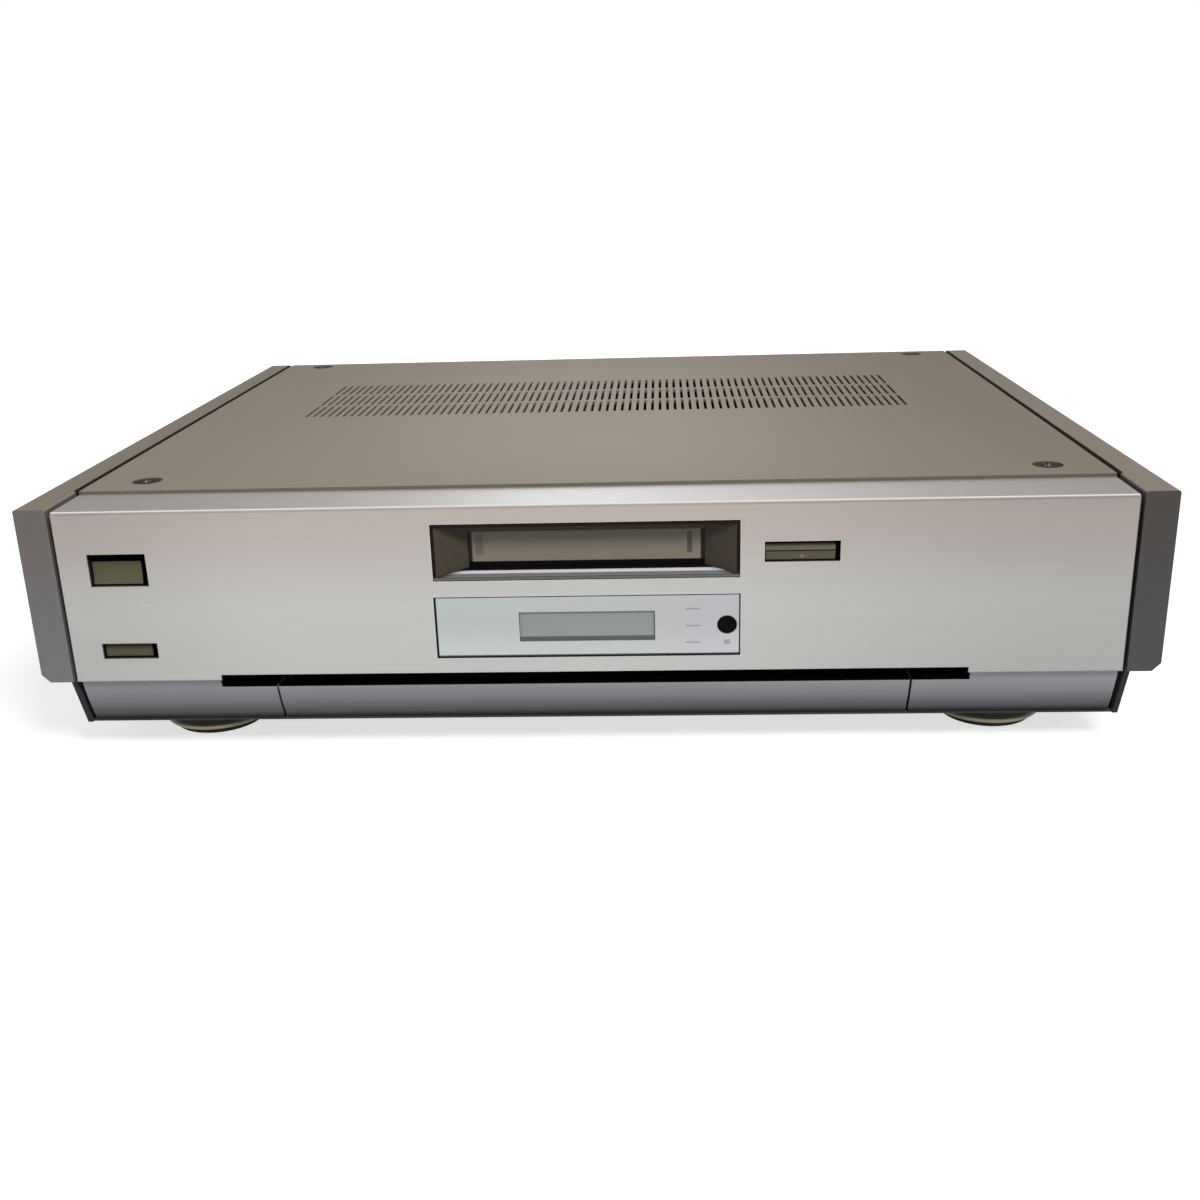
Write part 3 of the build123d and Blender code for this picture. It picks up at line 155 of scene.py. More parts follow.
class DeckStudio(bpy.types.PropertyGroup):
    """Camera and lamps."""

    lens: FloatProperty(name="Lens", description="Focal length in millimetres", default=39.01, min=10.0)
    camera: FloatVectorProperty(
        name="Camera", description="Place of the camera", subtype="TRANSLATION", unit="LENGTH",
        default=(0.031772, -0.699062, 0.24557))
    key_power: FloatProperty(
        name="Key lamp", description="Power of the lamp at the upper right", subtype="POWER", default=21.0)
    ambient: FloatProperty(name="Ambient", description="Strength of the even light", default=0.38, min=0.0)
    flag_tone: FloatProperty(
        name="Flag", description="Brightness of the mirrored flag's ends", default=0.22, min=0.0)


class Wire:
    """One socket of a node tree. Arithmetic on it adds the Math nodes."""

    def __init__(self, nodes, socket):
        self.nodes = nodes
        self.socket = socket

    def maths(self, operation, *values):
        return self.nodes.add("Math", dict(enumerate(values)), operation=operation)

    def __add__(self, other):
        return self.maths("ADD", self, other)

    def __radd__(self, other):
        return self.maths("ADD", other, self)

    def __sub__(self, other):
        return self.maths("SUBTRACT", self, other)

    def __rsub__(self, other):
        return self.maths("SUBTRACT", other, self)

    def __mul__(self, other):
        return self.maths("MULTIPLY", self, other)

    def __rmul__(self, other):
        return self.maths("MULTIPLY", other, self)

    def __truediv__(self, other):
        return self.maths("DIVIDE", self, other)

    def fraction(self):
        """The value's part after the point."""
        return self.maths("FRACT", self)

    def absolute(self):
        """The value without its sign."""
        return self.maths("ABSOLUTE", self)

    def clamped(self):
        """The value held between 0 and 1."""
        return self.nodes.add("Clamp", {"Value": self})


class Nodes:
    """The node tree of a material or a world under construction."""

    def __init__(self, owner):
        owner.use_nodes = True
        self.tree = owner.node_tree
        self.tree.nodes.clear()

    def add(self, kind, sockets=None, out=0, **settings):
        """Add a node: its type, the values or links of its sockets, its output and its settings."""
        node = self.tree.nodes.new("ShaderNode" + kind)
        for key, value in settings.items():
            setattr(node, key, value)
        for key, value in (sockets or {}).items():
            socket = node.inputs[key]
            if isinstance(value, Wire):
                self.tree.links.new(value.socket, socket)
            else:
                socket.default_value = rgba(value) if socket.type == "RGBA" else value
        return Wire(self, node.outputs[out])

    def seen(self):
        """1 for a ray from the camera, off a gloss or through glass, and 0 for any other."""
        kinds = ("Camera", "Glossy", "Transmission")
        return sum(self.add("LightPath", out=f"Is {kind} Ray") for kind in kinds).clamped()

    def close(self, kind, shader):
        """End the tree with its output."""
        output = self.tree.nodes.new("ShaderNodeOutput" + kind)
        self.tree.links.new(shader.socket, output.inputs["Surface"])


class Finish(Nodes):
    """A material under construction. Its body is its colour so far, and all its lengths are millimetres."""

    def __init__(self, name, body=None):
        self.material = bpy.data.materials.new(name)
        super().__init__(self.material)
        metres = self.add("TexCoord", out="Object")
        self.place = self.add("VectorMath", {0: metres, 1: (1 / MM,) * 3}, operation="MULTIPLY")
        self.body = body

    def axis(self, letter, vector=None):
        """One coordinate of a point, or of another vector."""
        return self.add("SeparateXYZ", {0: vector or self.place}, letter)

    def facing(self, letter):
        """How far the flat surface faces along one axis, from -1 to 1."""
        return self.axis(letter, self.add("NewGeometry", out="True Normal"))

    def span(self, value, low, high):
        """0 below low, 1 above high, and a smooth rise between. The value may be the letter of an axis."""
        value = self.axis(value) if isinstance(value, str) else value
        return self.add(
            "MapRange", {"Value": value, "From Min": low, "From Max": high}, interpolation_type="SMOOTHSTEP")

    def between(self, value, low, high, soft):
        """1 between low and high, with soft flanks of the given width outside."""
        return self.span(value, low - soft, low) * self.span(value, high + soft, high)

    def ramp(self, value, low, high, stops):
        """Colour from a value: stops are (share, colour) pairs that rise from 0 at low to 1 at high."""
        share = self.add("MapRange", {"Value": value, "From Min": low, "From Max": high})
        tint = self.add("ValToRGB", {"Fac": share})
        elements = tint.socket.node.color_ramp.elements
        for place, _ in stops[2:]:
            elements.new(place)
        for element, (place, tone) in zip(elements, stops):
            element.position = place
            element.color = rgba(tone)
        return tint

    def noise(self, grain, stretch=(1, 1, 1), detail=2.0):
        """Noise with features about one grain across, longer where stretch is larger."""
        scale = tuple(1 / (grain * pull) for pull in stretch)
        scaled = self.add("Mapping", {"Vector": self.place, "Scale": scale})
        return self.add("TexNoise", {"Vector": scaled, "Scale": 1.0, "Detail": detail})

    def rings(self, centre, grain):
        """Turning marks: noise along the distance from an upright axis."""
        moved = self.add("VectorMath", {0: self.place, 1: centre}, operation="SUBTRACT")
        flat = self.add("VectorMath", {0: moved, 1: (1.0, 1.0, 0.0)}, operation="MULTIPLY")
        radius = self.add("VectorMath", {0: flat}, "Value", operation="LENGTH")
        return self.add("TexNoise", {"W": radius / grain, "Detail": 3.0}, noise_dimensions="1D")

    def cells(self, grain, out, **settings):
        """One output of a pattern of cells about one grain across."""
        return self.add("TexVoronoi", {"Vector": self.place, "Scale": 1 / grain}, out, **settings)

    def mix(self, factor, first, second, kind="MIX"):
        """Mix two colours."""
        return self.add("Mix", {0: factor, 6: first, 7: second}, 2, data_type="RGBA", blend_type=kind)

    def blend(self, mask, tone):
        """Turn the body into another colour where the mask is 1."""
        self.body = self.mix(mask, self.body, tone)

    def drift(self, share, low=0.9, high=1.1):
        """Darken and lighten the body by a value between 0 and 1."""
        self.body = self.mix(1.0, self.body, self.mix(share, (low,) * 3, (high,) * 3), "MULTIPLY")

    def rounded(self, radius):
        """Normal of the surface as if its edges had this radius."""
        return self.add("Bevel", {"Radius": radius * MM}, samples=6)

    def edges(self, radius, contrast):
        """Mask of the edges: how far the rounded normal leans away from the flat one."""
        flat = self.add("NewGeometry", out="True Normal")
        level = self.add("VectorMath", {0: self.rounded(radius), 1: flat}, "Value", operation="DOT_PRODUCT")
        return ((1.0 - level) * contrast).clamped()

    def wear_and_glint(self, radius, contrast, share, high):
        """Lighten the edges and return their mask."""
        edge = self.edges(radius, contrast)
        self.drift(edge * share, 1.0, high)
        return edge

    def done(self, roughness, metallic=0.0, height=None, depth=0.0, bevel=0.0, specular=0.5, **others):
        """Close the material with one shader and return it."""
        normal = {"Normal": self.rounded(bevel)} if bevel else {}
        if height is not None:
            relief = {"Strength": 1.0, "Distance": depth * MM, "Height": height}
            normal = {"Normal": self.add("Bump", {**relief, **normal})}
        others = {key.replace("_", " "): value for key, value in others.items()}
        self.close("Material", self.add("BsdfPrincipled", {
            "Base Color": self.body, "Roughness": roughness, "Metallic": metallic,
            "Specular IOR Level": specular, **normal, **others}))
        return self.material


def brushed_fascia(colours):
    """Fascia: hairlines from left to right, painted reflection that makes it warmer above, cooler below and
    darker towards its ends, a painted highlight on its edges and painted shade in its openings.
    """
    finish = Finish("silver_fascia", colours.fascia_foot)
    low, high = extent("fascia")
    hair = finish.noise(0.3, (70, 1, 1), 3.0)
    band = finish.noise(2.2, (60, 1, 1), 1.0)
    # Painted reflection: warmer and darker towards the top, cooler and lighter towards the foot.
    finish.blend(finish.span("Z", low.z + 0.35 * (high.z - low.z), high.z), colours.fascia_top)
    # Painted reflection: darker towards the right end and, less, towards the left end.
    finish.drift(finish.span("X", 0, high.x), 1.0, 0.72)
    finish.drift(finish.span("X", low.x, low.x + 100), 0.86, 1.0)
    flange = finish.span(finish.facing("Z"), 0.6, 0.9)
    finish.blend(flange, colours.flange)
    finish.drift(hair * 0.5 + band * 0.3 + finish.noise(110) * 0.2, 0.91, 1.09)
    # Painted highlight: the rounded edges turn pale, brightest in the middle.
    edge = finish.edges(0.7, 2.5)
    glint = finish.mix(finish.between("X", -50, 50, 90), "a8a19d", "efeff1")
    finish.blend((edge * 0.9).clamped(), glint)
    # Painted shade: faces behind the front face, the walls of the openings, turn nearly black and lose their
    # metal.
    recess_shade = finish.span("Y", low.y + 0.3, low.y + 0.8) * finish.span("Z", high.z - 5, high.z - 6)
    finish.blend(recess_shade, "1c1a17")
    return finish.done(
        0.27 + hair * 0.14 + edge * 0.4, 0.75 + flange * 0.2 - recess_shade * 0.75, height=hair, depth=0.015,
        bevel=0.4)


def anodised_cheek(colours):
    """Cheeks: satin anodising with lengthwise hairlines, greyer at the foot, painted light on their tops,
    painted shade on the right cheek's front end and a painted shadow in the seam by the plate.
    """
    finish = Finish("bronze_grey_cheek", colours.cheek_foot)
    low, high = extent("left_cheek")
    hair = finish.noise(0.35, (1, 60, 1), 3.0)
    band = finish.noise(2.4, (1, 50, 1), 1.0)
    finish.blend(finish.span("Z", low.z, high.z), colours.cheek_top)
    # Painted shade: the front end of the right cheek is darker.
    finish.drift(finish.span(finish.facing("Y"), -0.5, -0.9) * finish.span("X", -200, 200), 1.0, 0.36)
    # Painted light: faces that look up are lighter.
    finish.blend(finish.span(finish.facing("Z"), 0.2, 0.8), "857d71")
    # Painted shadow: a near-black strip along the seam by the plate, on the inner wall and the inner edge of
    # the top.
    inner, start = extent("right_cheek")[0].x, extent("top_plate")[0].y
    seam = finish.span(finish.axis("X").absolute(), inner + 1.4, inner + 1.1)
    seam = seam * finish.span("Y", start, start + 1)
    finish.blend(seam, "0d0a07")
    finish.drift(hair * 0.5 + band * 0.3 + finish.noise(80) * 0.2, 0.86, 1.14)
    finish.wear_and_glint(0.6, 2.0, 0.5, 1.5)
    return finish.done(
        0.4 + hair * 0.16 + seam * 0.44, 0.25 - seam * 0.25, height=hair, depth=0.02, bevel=0.4,
        specular=0.3)


def coated_metal(name, tone, grain, metallic, roughness):
    """Baked coating: fine even speckle, soft clouds and slightly polished edges."""
    finish = Finish(name, tone)
    speck = finish.noise(grain)
    finish.drift(speck * 0.6 + finish.noise(70) * 0.4, 0.88, 1.12)
    finish.wear_and_glint(0.6, 2.0, 0.6, 1.3)
    return finish.done(roughness + speck * 0.14, metallic, height=speck, depth=0.04, bevel=0.35)


def champagne_plate(colours):
    """Top plate: champagne coating, a little redder on its right, with a painted highlight over its middle
    and painted shade inside the cut-outs, deepest on its front edge.
    """
    finish = Finish("champagne_plate", colours.plate)
    low, high = extent("top_plate")
    speck = finish.noise(0.4)
    finish.blend(finish.span("X", 0, high.x), "81786b")
    finish.drift(speck * 0.5 + finish.noise(95) * 0.5, 0.93, 1.07)
    # Painted highlight: a soft pool of light over the middle of the plate.
    glow = finish.between("X", -50, 30, 160) * finish.between("Y", -70, 50, 130)
    finish.drift(glow, 0.99, 1.13)
    # Painted shade: faces that don't look up are darker, the front edge most.
    wall = finish.span(finish.facing("Z"), 0.6, 0.3)
    finish.drift(wall, 1.0, 0.55)
    finish.drift(wall * finish.span("Y", low.y + 1, low.y + 3), 1.0, 1.5)
    return finish.done(0.5 + speck * 0.1, 0.25, height=speck, depth=0.02, bevel=0.2, specular=0.3)


def moulded(name, tone, roughness, grain=0.5, depth=0.03, wear_and_glint=1.6, specular=0.4):
    """Moulded plastic: fine spark-eroded grain, a little paler and smoother where hands rub its edges."""
    finish = Finish(name, tone)
    pit = finish.noise(grain, detail=3.0)
    finish.drift(pit * 0.4 + finish.noise(35) * 0.6, 0.88, 1.14)
    edge = finish.wear_and_glint(0.5, 1.6, 0.5, wear_and_glint)
    return finish.done(
        roughness + pit * 0.12 - edge * 0.08, height=pit, depth=depth, bevel=0.35, specular=specular)


def chin_coating(colours):
    """Coating of the chin, with painted shade that darkens it as the curve turns under, nearly black at its
    foot and on its top ledge, and a painted highlight on its upper edges.
    """
    finish = Finish("blue_grey_chin")
    low, high = (corner.z for corner in extent("chin_ends"))
    rise = high - low
    # Painted shade: the ramp darkens the coating from its top down to black at its foot.
    finish.body = finish.ramp(finish.axis("Z"), low, high, [
        (0.0, "060606"), (0.05, "0a0a0b"), (0.1, "343437"), (0.17, "55555a"), (0.5, "848489"),
        (0.78, colours.chin_top), (1.0, "949599")])
    # Painted shade: the top ledge inside the slot is nearly black.
    finish.blend(finish.span(finish.facing("Z"), 0.93, 0.99), "0c0c0d")
    speck = finish.noise(0.5)
    finish.drift(speck * 0.5 + finish.noise(60) * 0.5, 0.92, 1.08)
    # Painted highlight: edges above the lowest fifth of the chin are lighter.
    edge = finish.edges(0.6, 2.0) * finish.span("Z", low + 0.2 * rise, low + 0.3 * rise)
    finish.drift(edge * 0.4, 1.0, 1.5)
    return finish.done(0.4 + speck * 0.1, 0.3, height=speck, depth=0.03, bevel=0.4, specular=0.12)


def skirt_coating(colours):
    """Side skirts: grey coating in the chin's shaded tone, with painted shade that makes their narrow front
    edges nearly black.
    """
    finish = Finish("grey_skirt", colours.chin_foot)
    speck = finish.noise(0.5)
    finish.drift(speck * 0.5 + finish.noise(60) * 0.5, 0.88, 1.12)
    # Painted shade on the front edges.
    finish.blend(finish.span(finish.facing("Y"), -0.3, -0.8), "18181a")
    return finish.done(0.45 + speck * 0.1, 0.1, height=speck, depth=0.03, bevel=0.4, specular=0.25)


def plated_steel(name, tone):
    """Zinc plating: flat spangles of slightly different tone and gloss."""
    finish = Finish(name, tone)
    spangle = finish.axis("X", finish.cells(5, "Color"))
    speck = finish.noise(0.6, detail=3.0)
    finish.drift(spangle * 0.6 + speck * 0.4, 0.84, 1.1)
    finish.wear_and_glint(0.5, 2.0, 0.6, 1.3)
    return finish.done(0.3 + spangle * 0.14 + speck * 0.08, 0.9, height=speck, depth=0.02, bevel=0.3)


def blackened_screw(tone):
    """Screws: blackened steel, with a painted highlight in the cross recesses of the four heads on the top
    plate.
    """
    finish = Finish("black_screw", tone)
    speck = finish.noise(0.4, detail=3.0)
    middle = sum(TOP_SCREW_ROWS) / 2
    reach = TOP_SCREW_ROWS[1] - middle
    # Painted highlight: a pale spot in the middle of each head on the top plate.
    wear_and_glint = finish.between(finish.axis("X").absolute(), SCREW_X - 0.9, SCREW_X + 0.9, 0.5)
    wear_and_glint = wear_and_glint * finish.between((finish.axis("Y") - middle).absolute(), reach - 1.8, reach + 1.8, 0.5)
    finish.drift(speck, 0.8, 1.25)
    finish.blend(wear_and_glint, "8d8577")
    return finish.done(0.4 + speck * 0.15, 0.3, height=speck, depth=0.02, bevel=0.2, specular=0.2)


def turned_metal(name, tone, node):
    """Turned metal: fine rings round the node's upright axis."""
    finish = Finish(name, tone)
    low, high = extent(node)
    ring = finish.rings((low + high) / 2, 0.25)
    finish.drift(ring, 0.82, 1.1)
    finish.wear_and_glint(0.4, 2.0, 0.6, 1.3)
    return finish.done(0.22 + ring * 0.18, 0.95, height=ring, depth=0.02, bevel=0.25)


def polished_strip(tone):
    """Satin metal trim with faint hairlines along it, with painted shade that makes it grey along its front
    edge.
    """
    # Painted shade: the front edge takes a darkened copy of the trim's colour.
    finish = Finish("sill_metal", shade(tone, 0.22))
    face = extent("cassette_bezel")[0].y
    hair = finish.noise(0.2, (80, 1, 1), 3.0)
    finish.blend(finish.span("Y", face + 1.6, face + 2.6), tone)
    finish.drift(hair, 0.9, 1.08)
    return finish.done(0.4 + hair * 0.15, 0.1, height=hair, depth=0.01)


def smoked_plastic(colours):
    """Door: smoked glossy plastic with painted shade round its border, a painted shadow along its foot and
    two moulded slits.
    """
    finish = Finish("smoked_door", shade(colours.door, 1.08))
    low, high = extent("cassette_door")
    left, right = low.x + 5.6, high.x - 5.6
    streak = finish.noise(1.2, (40, 1, 1))
    finish.blend(finish.span("Z", low.z, high.z), shade(colours.door, 0.8))
    finish.drift(streak * 0.5 + finish.noise(30, (3, 1, 1)) * 0.5, 0.88, 1.12)
    # Painted shade: outside the inner field the ends are nearly black and the top strip dark brown.
    below = finish.span("Z", high.z - 8.2, high.z - 8.8)
    inside = finish.between("X", left, right, 0.6) * below
    finish.blend(1.0 - inside, finish.mix(below, "4a3f33", "1c160e"))
    slits = finish.between("X", left + 1.5, left + 3.9, 0.8) * 0.5
    slits = slits + finish.between("X", right - 5.0, right - 3.4, 0.5)
    slits = slits * finish.between("Z", low.z + 6.2, high.z - 9.8, 0.8)
    finish.blend((slits * 0.75).clamped(), "2a251c")
    # Painted shadow: a black matt band along the door's foot.
    painted_foot_shadow = finish.span("Z", low.z + 3.4, low.z + 2.9)
    finish.blend(painted_foot_shadow, "050404")
    return finish.done(
        0.3 + streak * 0.1 + painted_foot_shadow * 0.4, height=streak, depth=0.01, bevel=0.25, specular=0.1,
        Coat_Weight=inside * (1.0 - painted_foot_shadow) * 0.3, Coat_Roughness=0.1)


def shaded_bezel(colours):
    """Bezel: grained plastic, with painted shade on the slope that looks down, on the ledges that look up and
    along its outer rim.
    """
    finish = Finish("umber_bezel", colours.bezel)
    low, high = extent("cassette_bezel")
    pit = finish.noise(0.5, detail=3.0)
    finish.drift(pit * 0.4 + finish.noise(9) * 0.6, 0.8, 1.2)
    # Painted shade on faces that look down.
    finish.blend(finish.span(finish.facing("Z"), -0.1, -0.7), colours.bezel_dark)
    # Painted shade: front rims and upward ledges turn nearly black, brown near the top and grey along the
    # foot.
    rim = finish.span(finish.facing("Y"), -0.7, -0.98)
    ledge = finish.span(finish.facing("Z"), 0.5, 0.9)
    brow_shadow = finish.mix(finish.span("Z", high.z - 3, high.z - 2), "0e0c0a", "473c31")
    dark = finish.mix(finish.span("Z", low.z + 3.6, low.z + 3.2) * rim, brow_shadow, "6a6661")
    finish.blend((rim + ledge).clamped(), dark)
    finish.wear_and_glint(0.4, 1.6, 0.3, 1.5)
    return finish.done(0.45 + pit * 0.12, height=pit, depth=0.03, bevel=0.3, specular=0.12)


def olive_cap(node, colours, light_and_shade_bands, brow_shadow, side):
    """Button cap: satin olive plastic in bands of painted light and shade from its foot to its top.

    The strip along its top and the strip along its right end are painted black as the shadow of its opening.
    """
    finish = Finish(f"olive_{node}")
    low, high = extent(node)
    pit = finish.noise(0.45, detail=3.0)
    # Painted light and shade: each band is a lighter or darker copy of the button's colour.
    stops = [(share, shade(colours.button, tone)) for share, tone in light_and_shade_bands]
    finish.body = finish.ramp(finish.axis("Z"), low.z, high.z, stops)
    finish.drift(pit)
    # Painted shadow of the opening on the cap's top and right end.
    shadow = finish.span("Z", high.z - brow_shadow, high.z - brow_shadow + 0.5)
    shadow = shadow + finish.span("X", high.x - side, high.x - side + 0.4)
    finish.blend(shadow.clamped(), "040303")
    return finish.done(0.4 + pit * 0.1, height=pit, depth=0.02, bevel=0.3, specular=0.0)


def pale_panel(colours):
    """Display panel: lacquered, a little greener on its left, with four small printed marks by its lens and a
    painted shadow along its lower and left edges.
    """
    finish = Finish("ice_panel", colours.panel_left)
    low, high = extent("display_panel")
    speck = finish.noise(0.8)
    finish.blend(finish.span("X", low.x, high.x), colours.panel_right)
    finish.drift(speck * 0.4 + finish.noise(20) * 0.6, 0.96, 1.04)
    finish.drift(finish.span("Z", low.z, high.z - 9), 1.14, 0.97)
    rows = sum(finish.between("Z", row, row + 0.4, 0.3) for row in (66.8, 59.4, 52.1))
    dashes = rows * finish.between("X", 40.5, 46.3, 0.4)
    spot = finish.between("X", 56.2, 58.6, 0.3) * finish.between("Z", 51.4, 53.2, 0.3)
    finish.blend(((dashes + spot) * 0.45).clamped(), "4c4f50")
    # Painted shadow of the proud panel along its lower and left edges.
    edge_shadow = finish.span("Z", low.z + 1.0, low.z + 0.6) + finish.span("X", low.x + 0.7, low.x + 0.4)
    finish.blend(edge_shadow.clamped(), "23282a")
    finish.wear_and_glint(0.5, 2.0, 0.5, 1.25)
    return finish.done(
        0.28 + speck * 0.08, 0.2, height=speck, depth=0.005, bevel=0.3, Coat_Weight=0.3,
        Coat_Roughness=0.06)


def grey_window(colours):
    """Display window: grey sheet with the shadow of its frame along the lower edge and both ends."""
    finish = Finish("grey_window", colours.window)
    low, high = extent("display_window")
    dust = finish.noise(2.5, detail=1.0)
    finish.drift(finish.span("Z", low.z, high.z), 1.03, 0.95)
    finish.drift(dust, 0.99, 1.01)
    finish.drift(finish.between("X", low.x + 1.5, high.x - 1.5, 1.0), 0.88, 1.0)
    finish.blend(finish.span("Z", low.z + 2.1, low.z + 1.7), "4d5556")
    return finish.done(
        0.3 + dust * 0.05, height=dust, depth=0.0005, specular=0.3, Coat_Weight=0.1, Coat_Roughness=0.2)


def dark_glass(name, tone, roughness=0.08, specular=0.25):
    """Dark glossy glass or resin with faint dust."""
    finish = Finish(name, tone)
    dust = finish.noise(1.5, detail=3.0)
    finish.drift(dust, 0.8, 1.4)
    return finish.done(roughness + dust * 0.08, height=dust, depth=0.004, bevel=0.3, specular=specular)


def soft_rubber(name, tone):
    """Rubber: matt, slightly mottled."""
    finish = Finish(name, tone)
    pit = finish.noise(0.4, detail=4.0)
    finish.drift(pit * 0.5 + finish.noise(12) * 0.5, 0.8, 1.4)
    return finish.done(0.72 + pit * 0.15, height=pit, depth=0.06, bevel=0.4, specular=0.25)


def circuit_board(colours):
    """Circuit board: solder mask over a grid of tracks, with tinned pads."""
    finish = Finish("green_board", shade(colours.board, 0.8))
    tracks = finish.cells(7, "Distance", distance="MANHATTAN")
    track = finish.span((tracks * 6.0).fraction(), 0.45, 0.55)
    pad = finish.span(finish.cells(5, "Distance"), 0.2, 0.14)
    finish.blend(track, shade(colours.board, 1.5))
    finish.blend(pad, "b8b4a6")
    return finish.done(0.38 - pad * 0.1, pad * 0.8, height=track + pad, depth=0.05, bevel=0.2)


def laminated_core():
    """Transformer core: varnished sheets stacked from front to back."""
    finish = Finish("core_steel", "35302b")
    seam = finish.span((finish.axis("Y") / 0.5).fraction(), 0.75, 0.95)
    speck = finish.noise(0.7)
    finish.blend(speck, "5a5148")
    finish.blend(seam * 0.8, "161310")
    return finish.done(0.34 + speck * 0.2, 0.5, height=1.0 - seam, depth=0.08, bevel=0.3)


def wound_wire(colours, pitch):
    """Enamelled wire: painted light and shade, one bright line to each turn."""
    finish = Finish("wound_copper", colours.winding)
    # Painted light and shade: over each turn's pitch the tone rises from dark to bright.
    turn = finish.span((finish.axis("Z") / (pitch / MM)).fraction(), 0.1, 0.5)
    fleck = finish.noise(0.8, (6, 6, 1), 3.0)
    finish.drift(fleck * 0.5 + turn * 0.5, 0.6, 1.3)
    return finish.done(0.3 + fleck * 0.15, 0.6, height=turn, depth=0.1)


def shrunk_sleeve(colours):
    """Capacitor: plastic sleeve with a pale stripe down one side and a bare metal lid."""
    finish = Finish("blue_sleeve", colours.sleeve)
    high = extent("smoothing_capacitors")[1]
    lid = finish.span("Z", high.z - 0.35, high.z - 0.2)
    grain = finish.noise(1.2, (1, 1, 8))
    finish.drift(grain, 0.85, 1.2)
    finish.blend(finish.span("X", high.x - 2.4, high.x - 2.0), "c9c9cc")
    finish.blend(lid, shade(colours.aluminium, 0.8))
    return finish.done(0.3 + grain * 0.1, lid * 0.9, height=grain, depth=0.02, bevel=0.3)


def printed_ink(name, tone):
    """Screen-printed ink: a little uneven in tone."""
    finish = Finish(name, tone)
    speck = finish.noise(0.3, detail=3.0)
    finish.drift(speck, 0.88, 1.08)
    return finish.done(0.45 + speck * 0.15, height=speck, depth=0.005, specular=0.3)


def ring_metal(colours):
    """Foot rings: anodised metal with turning marks, painted lighter towards the foot, with painted shade on
    the sides that face left and right and a near-black painted shadow along the upper rim.
    """
    finish = Finish("gold_ring", colours.ring)
    low, high = (corner.z for corner in extent("foot_rings"))
    line = finish.noise(0.3, (40, 40, 1), 3.0)
    finish.drift(line * 0.5 + finish.noise(15) * 0.5, 0.82, 1.12)
    # Painted light and shade: lighter towards the foot, darker towards the top.
    finish.drift(finish.span("Z", low, high), 1.3, 0.8)
    # Painted shade on the sides that face left and right.
    finish.drift(finish.span(finish.facing("Y").absolute(), 0.75, 0.95), 0.55, 1.0)
    # Painted shadow along the upper rim.
    finish.blend(finish.span("Z", high - 4.5, high - 3.7), shade(colours.ring, 0.02))
    return finish.done(0.28 + line * 0.14, 0.6, height=line, depth=0.01)


def extent(node):
    """Lowest and highest corner of a node's box, in millimetres."""
    return [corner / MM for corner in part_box(node)]


def body_of(node):
    """Name of the body that a node belongs to."""
    return next(body for body, nodes in frame["record"]["behaviour"]["bodies"].items() if node in nodes)


def centre_of(node):
    """Middle of a node's box."""
    low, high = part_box(node)
    return (low + high) / 2


def paint(material, *nodes):
    """Give the material to nodes of the frame."""
    for name in nodes:
        mesh = frame["nodes"][name].data
        mesh.materials.clear()
        mesh.materials.append(material)


def surface(name, grids, material, body, replaced=(), smooth=True):
    """A piece made of point grids of shape (rows, columns, 3), whose columns close on themselves."""
    points = []
    faces = []
    start = 0
    for grid in grids:
        rows, columns = grid.shape[:2]
        index = start + np.arange(rows * columns).reshape(rows, columns)
        ahead = np.roll(index, -1, axis=1)
        quads = np.stack([index[:-1], ahead[:-1], ahead[1:], index[1:]], axis=-1).reshape(-1, 4)
        points.append(grid.reshape(-1, 3))
        faces.append(quads)
        start += rows * columns
    mesh = bpy.data.meshes.new(name)
    mesh.from_pydata(np.concatenate(points).tolist(), [], np.concatenate(faces).tolist())
    piece = bpy.data.objects.new(name, mesh)
    bpy.context.scene.collection.objects.link(piece)
    close_poles(mesh)
    mesh.materials.append(material)
    mesh.polygons.foreach_set("use_smooth", [smooth] * len(mesh.polygons))
    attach(piece, body)
    if replaced:
        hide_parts(*replaced)
    return piece


def close_poles(mesh):
    """Merge points that lie together, such as those at a pole, and turn every face outwards."""
    shell = bmesh.new()
    shell.from_mesh(mesh)
    bmesh.ops.remove_doubles(shell, verts=shell.verts, dist=1e-7)
    bmesh.ops.recalc_face_normals(shell, faces=shell.faces)
    shell.to_mesh(mesh)
    shell.free()


def turn_angles(count):
    """Equal angles round a full turn."""
    return np.arange(count) * 2 * np.pi / count


def crisp(rows):
    """Profile rows with a close neighbour on each side, so that smooth shading keeps the edges."""
    rows = np.asarray(rows, dtype=float)
    ahead = rows[:-1] + (rows[1:] - rows[:-1]) * 0.06
    before = rows[:-1] + (rows[1:] - rows[:-1]) * 0.94
    return np.concatenate([np.stack([rows[:-1], ahead, before], axis=1).reshape(-1, 2), rows[-1:]])


def turned(profile, centre, pose=UPWARD, count=64, swell=None):
    """Grid of a profile of (radius, height) rows turned about an axis.

    At angle a the point is centre + pose^T (r cos a, r sin a, h), where swell, if given, maps the grids of
    radius, height and angle to a new radius and height.
    """
    profile = np.asarray(profile, dtype=float)
    angle = turn_angles(count)[None, :]
    radius = profile[:, :1] * np.ones_like(angle)
    height = profile[:, 1:] * np.ones_like(angle)
    if swell:
        radius, height = swell(radius, height, angle)
    local = np.stack([radius * np.cos(angle), radius * np.sin(angle), height], axis=-1)
    return np.asarray(centre) + local @ pose


